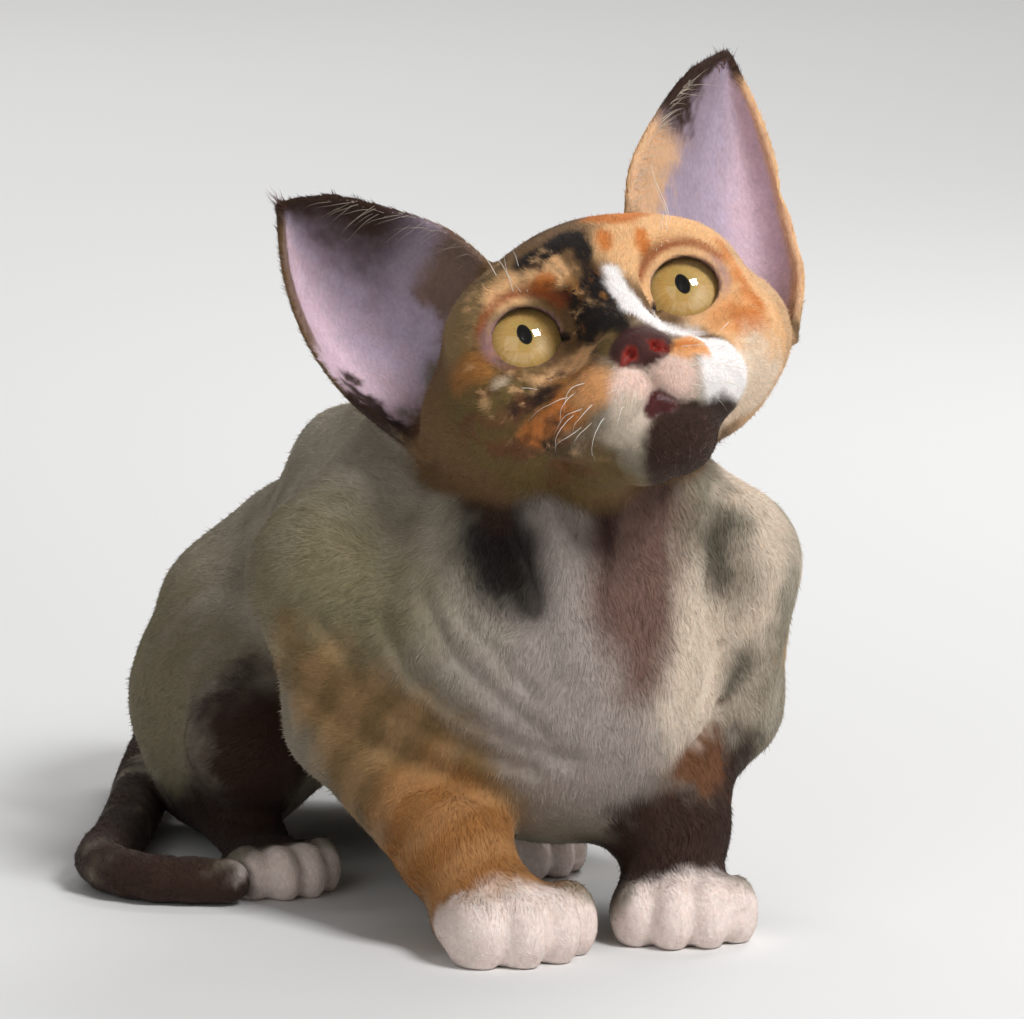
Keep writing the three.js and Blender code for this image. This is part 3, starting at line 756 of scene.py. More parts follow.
# %% Markings of the head: colour, form, softness and fray in mm
HEAD_MARKS = (
    (UMBER, egg((0, 26, 0), (46, 46, 42)), 5, 2),
    (BEIGE, egg((28, 16, -6), (14, 22, 24)), 4, 3),
    (BLACK, egg((5, 36, 22), (10, 10, 8)), 2, 3),
    (CREAM, egg((-11, 42, 16), (8, 9, 8)), 2, 3),
    (CREAM, egg((14, 0, 9), (15, 13, 13)), 3, 1.5),
    (SAND, egg((-23, 2, 7), (13, 13, 9)), 3, 2),
    (CREAM, egg((-18, -3, 9), (7, 8, 3.4)), 1.6, 1.2),
    (CREAM, egg((27, 4, -12), (12, 12, 14)), 3, 2),
    (OLIVE, egg((-26, 6, -16), (14, 14, 17)), 4, 2.5),
    (OCHRE, egg((-27, 4, -3), (7, 8, 4)), 2.5, 2),
    (CREAM, egg((-16, -4, -12), (11, 8, 5)), 2, 1.2),
    (OLIVE, egg((-28, 3, -14), (9, 9, 9)), 3, 3),
    (OCHRE, egg((-14, -9, -17), (9, 8, 6)), 2.5, 1.8),
    (ORANGE, egg((-21, -3, -20), (8, 7, 4)), 2, 2.4),
    (BROWN, egg((-25, 1, -25), (9, 7, 4), (0, 20, 0)), 2, 2.2),
    (BROWN, egg((-22, -3, -14.5), (6, 6, 2), (0, -10, 0)), 1.5, 2),
    (OLIVE, egg((-18, 6, -34), (17, 14, 9)), 4, 2),
    (APRICOT, egg((24, -2, -9), (6.5, 7, 6)), 2, 1.4),
    (ORANGE, bone((26.5, 4, 6), (29, 4, -8), 1.2, 2.2), 1.5, 1),
    (ORANGE, egg((26, 0, -11), (3.6, 6, 3)), 1.6, 1.5),
    (IVORY, egg((26, 3, -25), (12, 15, 10)), 4, 3),
    (ORANGE, egg((3.4, -6, 11.6), (1.7, 6, 2.8), (0, 18, 0)), 0.9, 0.7),
    (ORANGE, egg((10.8, -5, 10.2), (1.6, 6, 2.8), (0, 8, 0)), 0.9, 0.7),
    (ORANGE, egg((9, 2, 18), (6, 6, 4)), 2, 1.5),
    (BLACK, bone((-13.5, -3, 13.2), (-1.5, -5, 15.5), 2.2, 2.4), 0.9, 1.0),
    (BLACK, bone((-1.6, -6, 15), (-2.6, -10, 0), 2.0, 2.8), 0.9, 0.9),
    (BLACK, egg((-6, -9, -1.5), (5.6, 8, 6.6)), 0.9, 1.1),
    (BLACK, egg((-9.8, -6, 1.6), (4.6, 6, 3.2), (0, -25, 0)), 0.9, 1.1),
    (BLACK, egg((-2.6, -14, -8.6), (3.5, 6, 5.2)), 0.8, 0.9),
    (CREAM, egg((-7.6, -6, 9), (2.7, 6, 3.4), (0, -20, 0)), 0.8, 0.9),
    (ORANGE, egg((-11.4, -5, 7.4), (2.6, 6, 2.0), (0, 20, 0)), 0.7, 0.7),
    (OLIVE, egg((-5.4, -14, -11.5), (2.2, 4, 2.6)), 0.8, 0.9),
    (WHITE, bone((1.9, -8, 4.5), (2.4, -14, -5.5), 2.0, 2.9), 0.8, 0.7),
    (WHITE, bone((2.8, -15, -7), (11, -14, -12.8), 2.8, 2.9), 0.8, 0.6),
    (WHITE, bone((11, -14, -12.8), (18, -8, -17), 2.8, 3.4), 1, 0.7),
    (WHITE, egg((12.5, -8, -8.6), (6.6, 8, 3.8), (0, 18, 0)), 1.2, 0.8),
    (WHITE, egg((14.5, -9, -22.8), (8.5, 10, 6.8)), 1.6, 0.8),
    (BLUSH, egg((4.8, -14, -21.5), (4.2, 8, 5.4)), 1.8, 0.6),
    (APRICOT, egg((9.2, -16, -17.4), (4.6, 5, 2.4), (0, 10, 0)), 0.9, 0.8),
    (ORANGE, egg((8.6, -16, -16.8), (2.6, 5, 0.9), (0, 10, 0)), 0.6, 0.6),
    (APRICOT, egg((-10.5, -12, -19.5), (5.5, 8, 4.4), (0, 15, 0)), 1.6, 1.0),
    (BLUSH, egg((-4.8, -14, -23), (4.2, 8, 6), (0, 12, 0)), 1.6, 0.6),
    (MILK, egg((-6.4, -12, -27), (4.6, 8, 4.2)), 2.2, 1.2),
    (BROWN, egg((2.6, -6, -33.4), (9.6, 13, 8.6)), 1.0, 0.8),
    (BROWN, egg((12.5, -4, -32), (8, 10, 6), (0, 15, 0)), 1.0, 0.8),
)
# A short pale stroke under the outer corner of the right eye.
RIGHT_EYE_WHITE = egg((-25.2, 1.5, -8), (1.8, 4, 0.7), (0, -20, 0))


def marked(colour, p, marks, seed, grain=1.0):
    """A colour with markings laid over it one after another, frayed only along their edges."""
    for i, (new, form, soft, ragged) in enumerate(marks):
        d = form(p)
        edge = np.abs(d) < soft + 2.1 * ragged
        d[edge] += ragged * fray(p[edge] / grain, seed + i)
        on = d < soft
        colour[on] = mixed(colour[on], new, share(d[on], soft))
    return colour


def paint_head(q, colour):
    """Markings of the head over a colour, for points in the head's axes."""
    colour = marked(colour, q, HEAD_MARKS, 0)
    mottle = rise(1.3 * fray(q * (1, 1, 1.6), 71) + 0.1) * share(egg((-24, 4, -18), (17, 15, 17))(q), 5)
    colour = mixed(colour, DUSK, 0.8 * mottle)
    brindle = rise(1.5 * fray(q * (1.7, 1, 0.8), 75) - 0.4) * share(egg((-7, -8, -1), (8, 10, 9))(q), 3)
    colour = mixed(colour, OCHRE, 0.75 * brindle)
    flecked = share(egg((-17, -2, -4), (16, 18, 26))(q), 5)
    streaks = fray(q * (1.6, 0.8, 2.4) + (0, 0, 0.8) * q[:, 0:1], 85)
    colour = mixed(colour, CREAM, 0.6 * rise(1.4 * streaks - 0.6) * flecked)
    colour = mixed(colour, BROWN, 0.62 * rise(-1.4 * streaks - 0.55) * flecked)
    colour = mixed(colour, IVORY, 0.55 * share(RIGHT_EYE_WHITE(q) + 0.7 * fray(q, 80), 0.8))
    # A rust-coloured arc follows the upper lid of each eye.
    beside = np.abs(q[:, 0]) - EYE_CENTRE[0]
    ring = np.hypot(beside / (LID_OPENING[0] + 2.3), q[:, 2] / (LID_OPENING[1] + 2.3))
    arc = rise((q[:, 2] - 1.5) / 3) * rise(1 - np.abs(ring - 1) / 0.17) * (q[:, 1] < 9)
    return mixed(colour, RUST, 0.85 * arc)

# %% [markdown]
# The smoky body is suede with drifts of grey and cream.
# The chest is nearly white, the hollow beside the throat is black fur darkened by painted shadow, and each
# leg has a colour of its own.
# What the picture hides is made up in the breed's manner: ragged patches on the back and the left flank.

# %% Markings of the body: colour, form, softness and fray in mm
BODY_MARKS = (
    (PALE_SMOKE, egg((8, 20, 84), (30, 34, 18)), 8, 5),
    (PALE_SMOKE, egg((-26, -16, 92), (18, 20, 10)), 6, 4),
    (MOSS, egg((-38, -26, 66), (16, 28, 22)), 9, 5),
    (MOSS, egg((-38, 50, 30), (14, 26, 20)), 8, 5),
    (MOSS, egg((-30, 78, 38), (16, 20, 22)), 9, 5),
    (OCHRE, egg((36, 44, 42), (14, 22, 18)), 4, 5),
    (BROWN, egg((22, 84, 52), (18, 20, 16)), 3, 5),
    (BROWN, egg((16, 34, 88), (11, 17, 9)), 3, 5),
    (CREAM, egg((14, 62, 76), (12, 14, 10)), 4, 5),
    (CHALK, egg((4, -70, 50), (28, 24, 24)), 10, 4),
    (MILK, egg((28, -62, 54), (19, 20, 22)), 9, 4),
    (MILK, egg((46, -46, 74), (8, 20, 26)), 5, 5),
    (CREAM, egg((48, -34, 58), (9, 16, 22)), 5, 5),
    (CHALK, bone((-4, -56, 96), (0, -70, 64), 6, 9), 5, 3),
    # Black fur in the hollow beside the throat, with the hollow's shadow painted in as well.
    (BLACK, egg((-13, -60, 79), (8.4, 12, 12.5), (0, -10, 0)), 5.5, 1.8),
    # Painted shadow: darker smoke in the hollow on the cat's left of the throat and on the chest below it.
    (DEEP_SMOKE_AND_SHADE, egg((37, -62, 75), (5, 8, 11)), 5, 2),
    (DEEP_SMOKE_AND_SHADE, egg((40, -60, 50), (3, 8, 6), (0, 30, 0)), 4, 2),
    (THROAT_PINK,
     limb(3, (17, -62, 94, 12.5), (16, -66, 80, 11.6), (13, -71, 66, 9.6), (11, -74, 54, 4.5)), 5, 1.6),
    # Painted shade: dark lines along both sides of the groove down the throat.
    (THROAT_GROOVE_SHADE, limb(3, (9, -60, 94, 4), (7.5, -67, 80, 1.6), (4.4, -72, 66, 0.4)), 2.6, 0.8),
    (THROAT_GROOVE_SHADE, limb(3, (24, -58, 94, 3), (22.5, -64, 82, 1)), 2.6, 0.8),
    (BROWN, bone((-16, -50, 98), (-10, -53, 90), 8, 5), 4, 3),
    (LOAM, limb(6, (-40, -30, 50, 11), (-32, -46, 38, 15), (-24, -60, 24, 14)), 7, 4),
    (TAN, limb(6, (-27, -57, 22, 14), (-20, -70, 10, 15)), 8, 4),
    (BROWN, limb(6, (38, -40, 30, 15), (25, -60, 20, 16), (21, -70, 12, 15)), 4, 3),
    (DUSK, egg((27, -66, 33), (12, 12, 6)), 3, 4),
    (BROWN, egg((-37, 14, 24), (13, 19, 23)), 7, 5),
    (BROWN, bone((-28, 66, 10), (-36, 8, 8), 11, 11), 3, 3),
    (MOSS, egg((36, 16, 24), (12, 20, 16)), 4, 4),
    (BROWN, bone((30, 66, 10), (22, 8, 8), 11, 11), 3, 3),
    (PAW_WHITE, egg((-17.5, -80, 2), (20, 16, 14)), 2, 1.4),
    (PAW_WHITE, egg((20, -80, 2), (18, 15, 12.5)), 2, 1.4),
    (PAW_WHITE, egg((-36, -9, 4), (16, 9, 11)), 2, 1.5),
    (PAW_WHITE, egg((18, -13, 4), (16, 9, 11)), 2, 1.5),
)
BAR_WAY = np.array([0.25, -0.72, -0.55])
MARKS_BELOW, MARKS_ABOVE, MARKS_SOFT = 9, 4.5, 1.5


def coat_colour(p, out):
    """Colour of the coat at points of the body, whose outward normals are out."""
    drift = ripple(p, 16, 5) + 0.6 * ripple(p, 7, 6)
    colour = mixed(np.tile(SMOKE, (len(p), 1)), PALE_SMOKE, rise(0.4 + 0.6 * drift))
    colour = mixed(colour, DEEP_SMOKE_AND_SHADE, 0.7 * rise(-0.2 - 0.8 * drift))
    colour = marked(colour, p, BODY_MARKS, 40, 2.0)
    bars = rise(0.5 + 0.8 * np.sin(p @ BAR_WAY * 0.62 + 0.8 * ripple(p, 6, 9)))
    arm = share(limb(6, (-36, -24, 52, 13), (-29, -40, 36, 17), (-22, -66, 16, 14))(p), 4)
    colour = mixed(colour, CREAM, 0.14 * bars * arm)
    colour = mixed(colour, BROWN, share(tail_part(p) - 1.5 + 2 * fray(p * 0.5, 66), 1.5))
    q = to_head(p)
    away = head_part(p)
    # Markings of the head count from 9 mm under its surface to 4.5 mm above it.
    past = np.maximum(-away - MARKS_BELOW, away - MARKS_ABOVE)
    near = np.flatnonzero(past < MARKS_SOFT)
    on_head = share(past[near], MARKS_SOFT)
    colour[near] = mixed(colour[near], paint_head(q[near], colour[near]), on_head)
    for side, ear in ears.items():
        colour = paint_ear(ear, side, p, out, colour)
    return paint_bare(q, colour)


# %% Ears and bare skin
def paint_ear(ear, side, p, out, colour):
    """An ear: lilac and nearly bare inside, coated behind, dark along its front edge and tip."""
    near = np.flatnonzero(ear.bound(p) < 2)
    if not len(near):
        return colour
    into, face, away = ear.nearest(p[near])
    # u runs from the root to the tip, and v from the leading edge at -1 to the outer edge at 1.
    u, v = ear.u[face], ear.v[face]
    noise = fray(p[near], 90 if side == "left" else 95)
    inner = ear.inside(into, out[near])
    skin_tone = mixed(np.tile(EAR_LILAC, (len(near), 1)), EAR_PINK, rise(0.5 + 1.2 * v + 0.25 * noise))
    # Painted shade darkens the inside of the ear towards its leading edge and its tip, more in the right
    # ear.
    ear_shading = 0.7 if side == "right" else 0.6
    ear_shading = ear_shading * rise(0.35 - v * 0.9 + 0.1 * noise)
    skin_tone = mixed(skin_tone, EAR_PAINTED_SHADE, ear_shading * rise(0.35 + 0.9 * u))
    base = CREAM if side == "left" else UMBER
    back = mixed(np.tile(OLIVE, (len(near), 1)), base, rise(0.5 + 0.6 * noise))
    tint = mixed(back, skin_tone, inner)
    if side == "right":
        dark = rise((-v - 0.2 + 0.09 * noise) * 1.5) * rise((u - 0.26) * 4)
        dark = np.maximum(dark, rise((v - 0.5 + 0.16 * noise) * 7) * rise((0.42 - u + 0.1 * noise) * 7))
        gold = rise((v - 0.8) * 9) * rise((u - 0.52) * 12)
        gold = np.maximum(gold, rise((-v - 0.5 + 0.1 * noise) * 5) * rise((0.34 - u) * 8))
    else:
        dark = rise((-v - 0.66 + 0.12 * noise) * 6) * rise((u - 0.42) * 7)
        gold = np.maximum(rise((v - 0.86) * 9), rise((-v - 0.6 + 0.1 * noise) * 5) * rise((0.56 - u) * 7))
        gold = np.maximum(gold, rise((v - 0.3 + 0.2 * noise) * 4) * rise((0.12 - u) * 12))
    dark = np.maximum(dark, rise((u - 0.9 + 0.03 * noise) * 12))
    tint = mixed(mixed(tint, base, 0.85 * gold), BROWN, dark)
    amount = rise((ear.half[face] + 1.6 - away) / 1.2) * rise((u - 0.05 + 0.03 * noise) * 12)
    colour[near] = mixed(colour[near], tint, amount)
    return colour


def bare_parts(q):
    """How far nose leather, lips, lid rims, their dark line and nostrils cover points of the head."""
    m = folded(q)
    leather = share(nose_leather(m) - 0.75, 0.45) * (q[:, 1] < -9)
    strip = share(philtrum(m) - 0.9, 0.5)
    lips = share(lower_lip(m) - 0.7, 0.4)
    rims = share(lid_rim(m) - 0.5, 0.4) * (q[:, 1] < 6)
    wet = np.minimum(ball(EYE_CENTRE, EYE_RADIUS + 0.45)(m), lid_corner(m) - 0.2)
    line = share(wet, 0.25) * (q[:, 1] < 6)
    return np.maximum(leather, strip), lips, rims, line, share(nostril(m) - 0.1, 0.3)


def paint_bare(q, colour):
    """Bare skin over a colour, for points in the head's axes."""
    leather, lips, rims, line, nostrils = bare_parts(q)
    colour = mixed(colour, LEATHER, leather)
    colour = mixed(colour, NOSTRIL_RED, nostrils)
    colour = mixed(colour, LIP_RED, lips)
    colour = mixed(colour, LID_MAUVE, rims)
    return mixed(colour, BLACK, line)

# %% [markdown]
# A finish is a small set of nodes, and its sums are easier to read as sums.
# So one class wraps a node's output and turns + and * into the nodes that do them.
# Another class holds a material and makes any other node from its type, its settings and its inputs.

# %% Shader sums
class Amount:
    """A number that changes over a surface."""

    def __init__(self, finish, socket):
        self.finish = finish
        self.socket = socket

    def _math(self, operation, other):
        inputs = {0: self, 1: other}
        return Amount(self.finish, self.finish.node("ShaderNodeMath", {"operation": operation}, inputs))

    def __add__(self, other):
        return self._math("ADD", other)

    def __mul__(self, other):
        return self._math("MULTIPLY", other)


class Finish:
    """A material with its main shader, and a way to add nodes."""

    def __init__(self, name, **constants):
        self.material = bpy.data.materials.new(name)
        self.material.use_nodes = True
        self.tree = self.material.node_tree
        self.shader = self.tree.nodes["Principled BSDF"]
        for key, value in constants.items():
            self.shader.inputs[key.replace("_", " ")].default_value = value

    def put(self, socket, value):
        """Gives an input a number, a colour, an amount or another node's output."""
        value = getattr(value, "socket", value)
        if isinstance(value, bpy.types.NodeSocket):
            self.tree.links.new(value, socket)
        else:
            socket.default_value = value

    def node(self, kind, settings, inputs, output=0):
        """Makes a node and returns one of its outputs."""
        made = self.tree.nodes.new(kind)
        for key, value in settings.items():
            setattr(made, key, value)
        for key, value in inputs.items():
            self.put(made.inputs[key], value)
        return made.outputs[output]

    def attribute(self, name, output="Color"):
        return self.node("ShaderNodeAttribute", {"attribute_name": name}, {}, output)

    def noise(self, size, detail=2.0, stretch=(1, 1, 1)):
        """Noise on Object coordinates whose lumps are about size metres."""
        place = self.node("ShaderNodeTexCoord", {}, {}, "Object")
        if stretch != (1, 1, 1):
            place = self.node("ShaderNodeVectorMath", {"operation": "MULTIPLY"}, {0: place, 1: stretch})
        inputs = {"Vector": place, "Scale": 1 / size, "Detail": detail, "Roughness": 0.6}
        return Amount(self, self.node("ShaderNodeTexNoise", {}, inputs, "Fac"))

    def scaled(self, colour, amount):
        """A colour made lighter or darker by an amount."""
        inputs = {0: colour, "Scale": amount}
        return self.node("ShaderNodeVectorMath", {"operation": "SCALE"}, inputs)

    def bump(self, height, distance, strength):
        """Fine relief in the normals, as high as the distance in metres."""
        inputs = {"Height": height, "Distance": distance, "Strength": strength}
        self.put(self.shader.inputs["Normal"], self.node("ShaderNodeBump", {}, inputs))

    def feed(self, **links):
        """Gives inputs of the main shader by their names."""
        for key, value in links.items():
            self.put(self.shader.inputs[key.replace("_", " ")], value)


# %% [markdown]
# Skin and hair share one colour, so both read it from the same point attribute.
# The skin adds a fine streaky bump for the down that is too short to model, and is smoother where bare.
# The hairs are dull with a faint sheen, because most light is lost between them.

# %% Finishes of skin and hair
skin_finish = Finish("suede_skin", Subsurface_Weight=0.12, Subsurface_Scale=0.003, Sheen_Weight=0.04,
                     Sheen_Roughness=0.5, Specular_IOR_Level=0.3)
skin_finish.shader.inputs["Subsurface Radius"].default_value = (1.0, 0.35, 0.25)
down = skin_finish.noise(0.0007, 3.0, (1, 0.45, 0.6))
patchy = skin_finish.noise(0.004, 2.0)
skin_finish.feed(
    Base_Color=skin_finish.scaled(skin_finish.attribute("coat"), down * 0.5 + patchy * 0.3 + 0.6),
    Roughness=skin_finish.attribute("rough", "Fac"),
)
skin_finish.bump(down, 0.0004, 0.6)

hair_finish = Finish("short_hair", Roughness=0.65, Specular_IOR_Level=0.2, Sheen_Weight=0.05,
                     Sheen_Roughness=0.5)
streak = hair_finish.noise(0.0009, 2.0)
hair_finish.feed(Base_Color=hair_finish.scaled(hair_finish.attribute("coat"), streak * 0.5 + 0.78))


def set_colours(piece, colours):
    """Point colours, as light values."""
    layer = piece.data.color_attributes.new("coat", "FLOAT_COLOR", "POINT")
    values = np.column_stack([colours, np.ones(len(colours))]).astype(np.float32)
    layer.data.foreach_set("color", values.ravel())


def set_numbers(piece, name, numbers):
    """One number at each point, under a name that a finish can read."""
    layer = piece.data.attributes.new(name, "FLOAT", "POINT")
    layer.data.foreach_set("value", np.asarray(numbers, np.float32))


def corner_normals(points, faces):
    """Outward normals at the points of a mesh of quads."""
    a, b, c, d = (points[faces[:, i]] for i in range(4))
    across = np.cross(c - a, d - b)
    normals = np.stack([sum(np.bincount(faces[:, i], across[:, x], len(points)) for i in range(4))
                        for x in range(3)], 1)
    return normals / np.maximum(length(normals), 1e-12)[:, None]


skin_out = corner_normals(skin_points, skin_quads)
set_colours(skin, coat_colour(skin_points, skin_out))
leather, lips, rims, line, nostrils = bare_parts(to_head(skin_points))
rough = 0.8 - 0.1 * leather - 0.4 * lips - 0.25 * np.maximum(rims, line) - 0.3 * nostrils
set_numbers(skin, "rough", rough)
skin.data.materials.append(skin_finish.material)
print("skin coloured")

# %% [markdown]
# The coat is short, soft and waved, and lies close.
# Each tuft is a thin spike of a few hairs that starts in the skin and leans along the lie.
# Hair systems would be quicker to comb, but they are lost on export, so the tufts are plain meshes.
# The lie runs from the nose back over the head, down the chest and legs and back along the body.

# %% The lie of the coat
def lie(p, out):
    """Way that the hairs lean at points with outward normals."""
    q = to_head(p)
    side = np.tanh(p[:, 0:1] / 30)
    body = np.concatenate([0.25 * side, np.full_like(side, 0.9), np.full_like(side, -0.45)], 1)
    chest = rise((-34 - p[:, 1]) / 22) * rise((100 - p[:, 2]) / 14)
    body = mixed(body, np.concatenate([0.35 * side, 0 * side, 0 * side - 1], 1), chest)
    low = rise((34 - p[:, 2]) / 14) * rise((-20 - p[:, 1]) / 20)
    body = mixed(body, np.array([0.0, -0.75, -0.6]), low)
    feet = rise((16 - p[:, 2]) / 6) * rise((30 - p[:, 1]) / 10)
    body = mixed(body, np.array([0.0, -1.0, -0.25]), feet)
    head = q - (0, -26, -13)
    head /= length(head)[:, None]
    head = (head + (0, 0.35, 0.1)) @ HEAD_TURN.T
    on_head = share(head_part(p) - 2, 3)
    way = mixed(body, head, on_head)
    for ear in ears.values():
        near = share(within(ear.bound, ear, 3)(p) - 1, 1)
        way = mixed(way, (np.array([0.45, 0.12, 0.88]) * (ear.side, 1, 1)) @ HEAD_TURN.T, near)
    way = way - np.einsum("ij,ij->i", way, out)[:, None] * out
    way /= np.maximum(length(way), 1e-6)[:, None]
    wave = 0.5 * ripple(p, 5, 40) + 0.45 * ripple(p, 1.6, 41)
    across = np.cross(out, way)
    return way * np.cos(wave)[:, None] + across * np.sin(wave)[:, None]


# %% Where hairs grow and how long
def growth(p, out):
    """Tufts to the square millimetre, their length and their width in mm."""
    q = to_head(p)
    on_head = share(head_part(p) - 3, 2)
    front = on_head * share(q[:, 1] - 10, 6)
    dense = 3.9 + 1.2 * on_head + 2.6 * front
    long = 1.9 - 0.3 * on_head - 0.45 * front
    wide = 0.2 - 0.02 * on_head - 0.02 * front
    foot = rise((14 - p[:, 2]) / 5)
    dense += 1.0 * foot
    long -= 0.8 * foot
    wide -= 0.04 * foot
    hidden = rise((-0.55 - out[:, 2]) / 0.3) + 0.35 * rise((p[:, 1] - 20) / 40)
    dense *= 1 - 0.6 * np.clip(hidden, 0, 1)
    for ear in ears.values():
        near = np.flatnonzero(ear.bound(p) < 2)
        into, face, away = ear.nearest(p[near])
        on = rise((ear.half[face] + 1 - away) / 0.8) * rise(ear.u[face] * 10)
        inner = ear.inside(into, out[near]) * rise((0.93 - np.abs(ear.v[face])) * 12)
        dense[near] = dense[near] * (1 - on) + on * (3.6 - 2.9 * inner)
        long[near] = long[near] * (1 - on) + on * (1.5 - 0.3 * inner)
        wide[near] = wide[near] * (1 - on) + on * (0.2 - 0.1 * inner)
    m = folded(q)
    edges = [share(lid_opening(m) - 1.3, 0.6), share(mouth_slit(m) - 0.6, 0.5)]
    bare = np.maximum.reduce([*bare_parts(q), *edges])
    return dense * (1 - bare), long, wide


# %% Scattering over the skin
def scattered(points, quads, out, rng, thin):
    """Roots, normals, lengths and widths of tufts, spread by area, growth and a share to keep."""
    a, b, c, d = (points[quads[:, i]] for i in range(4))
    area = 0.5 * length(np.cross(c - a, d - b))
    middle = (a + b + c + d) / 4
    facing = sum(out[quads[:, i]] for i in range(4))
    facing /= length(facing)[:, None]
    dense, long, wide = growth(middle, facing)
    count = area * dense * thin
    count = np.floor(count + rng.random(len(count))).astype(int)
    pick = np.repeat(np.arange(len(quads)), count)
    s, t = rng.random((2, len(pick)))[..., None]
    root = (a[pick] * (1 - s) + b[pick] * s) * (1 - t) + (d[pick] * (1 - s) + c[pick] * s) * t
    corner = [out[quads[pick, i]] for i in range(4)]
    normal = (corner[0] * (1 - s) + corner[1] * s) * (1 - t) + (corner[3] * (1 - s) + corner[2] * s) * t
    normal /= length(normal)[:, None]
    above = root[:, 2] > 0.8
    return root[above], normal[above], long[pick][above], wide[pick][above]


rng = np.random.default_rng(7)
kept = 1.0
roots, normals, longs, wides = scattered(skin_points, skin_quads, skin_out, rng, kept)
print(len(roots), "tufts")

# %% [markdown]
# Every tuft needs a place on a flat map of the skin, so that its colour can be stored there on export.
# A light copy of the skin is unwrapped for that, and each root takes the place of the nearest point on it.

# %% Flat map of the skin
def flat_map():
    """A thinned copy of the skin's triangles with their places on the flat map."""
    copy = skin.copy()
    copy.data = skin.data.copy()
    bpy.context.scene.collection.objects.link(copy)
    thin = copy.modifiers.new("thin", "DECIMATE")
    thin.ratio = 0.07
    bpy.context.view_layer.objects.active = copy
    for obj in bpy.context.selected_objects:
        obj.select_set(False)
    copy.select_set(True)
    bpy.ops.object.modifier_apply(modifier="thin")
    bpy.ops.object.mode_set(mode="EDIT")
    bpy.ops.mesh.select_all(action="SELECT")
    bpy.ops.mesh.quads_convert_to_tris()
    bpy.ops.uv.smart_project(angle_limit=math.radians(66), island_margin=0.004)
    bpy.ops.object.mode_set(mode="OBJECT")
    mesh = copy.data
    corners = np.zeros(len(mesh.loops), np.int32)
    mesh.loops.foreach_get("vertex_index", corners)
    places = np.zeros(len(mesh.vertices) * 3)
    mesh.vertices.foreach_get("co", places)
    uv = np.zeros(len(mesh.loops) * 2)
    mesh.uv_layers.active.data.foreach_get("uv", uv)
    bpy.data.objects.remove(copy)
    return places.reshape(-1, 3) * 1000 - SHIFT, corners.reshape(-1, 3), uv.reshape(-1, 3, 2)


def on_map(p, places, triangles, uv):
    """Places on the flat map of points near the skin."""
    tree = BVHTree.FromPolygons(places.tolist(), triangles.tolist())
    found = [tree.find_nearest(x) for x in p]
    face = np.array([f[2] for f in found])
    at = np.array([f[0] for f in found])
    a, b, c = (places[triangles[face, i]] for i in range(3))
    whole = np.maximum(length(np.cross(b - a, c - a)), 1e-9)
    wb = length(np.cross(c - a, at - a)) / whole
    wc = length(np.cross(b - a, at - a)) / whole
    first, to_b, to_c = uv[face, 0], uv[face, 1] - uv[face, 0], uv[face, 2] - uv[face, 0]
    return first + to_b * wb[:, None] + to_c * wc[:, None]


root_uv = on_map(roots, *flat_map())
print("flat map spans", root_uv.min(0).round(2), root_uv.max(0).round(2))

# %% Tufts
PATCH = 0.003
SPIKE_FACES = np.array([(0, 2, 1), (0, 1, 3), (1, 2, 3), (2, 0, 3)])
SPIKE_UV = np.array([(-0.5, -0.5), (0.5, -0.5), (0.0, 0.5), (0.0, 0.0)]) * PATCH


def tuft_mesh(name, root, out, way, long, wide, lift, colour, uv):
    """Many straight tufts as one flat-shaded mesh, each a spike of four triangles."""
    n = len(root)
    axis = way * np.cos(lift)[:, None] + out * np.sin(lift)[:, None]
    side = np.cross(axis, out)
    side /= np.maximum(length(side), 1e-6)[:, None]
    up = np.cross(side, axis)
    w = wide[:, None]
    base = root - 0.12 * out
    tip = root + axis * long[:, None]
    corners = np.stack([base - side * w / 2, base + side * w / 2, base + up * w * 0.4, tip], 1)
    faces = (np.arange(n)[:, None, None] * 4 + SPIKE_FACES).reshape(-1, 3)
    piece = mesh_piece(name, corners.reshape(-1, 3), faces, hair_finish.material)
    piece.data.shade_flat()
    shades = np.repeat(colour[:, None, :], 4, 1)
    shades[:, 3] *= 1.12
    set_colours(piece, np.clip(shades, 0, 1).reshape(-1, 3))
    flat = piece.data.uv_layers.new(name="OFBake")
    spots = (uv[:, None, :] + SPIKE_UV).reshape(-1, 2)[faces.ravel()]
    flat.data.foreach_set("uv", spots.astype(np.float32).ravel())
    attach(piece, "root")
    return piece


ways = lie(roots, normals)
lifts = np.radians(rng.uniform(3, 14, len(roots)) + 24 * (rng.random(len(roots)) < 0.05))
clumps = 1 + 0.13 * ripple(roots, 1.4, 60) + 0.07 * ripple(roots, 3.5, 61)
colours = coat_colour(roots, normals) * (clumps * rng.uniform(0.84, 1.2, len(roots)))[:, None]
longs = longs * rng.uniform(0.65, 1.25, len(roots))
order = np.lexsort((roots[:, 1], head_part(roots) > 3))
PIECE_TUFTS = 48000
coat = []
for number, start in enumerate(range(0, len(order), PIECE_TUFTS)):
    i = order[start:start + PIECE_TUFTS]
    coat.append(tuft_mesh(f"coat_{number + 1}", roots[i], normals[i], ways[i], longs[i], wides[i], lifts[i],
                          colours[i], root_uv[i]))
print(len(coat), "coat pieces,", 4 * len(order), "triangles")

# %% [markdown]
# Whiskers, brow hairs, the curls under the chin and the hairs in the ears stand free of the coat.
# Each is drawn as a short bent line of points on a plain mesh of edges.
# Geometry Nodes then thickens all the lines of a set at once: it curls, tapers and caps them.
# The result is kept as a plain mesh, so nothing depends on the modifier afterwards.

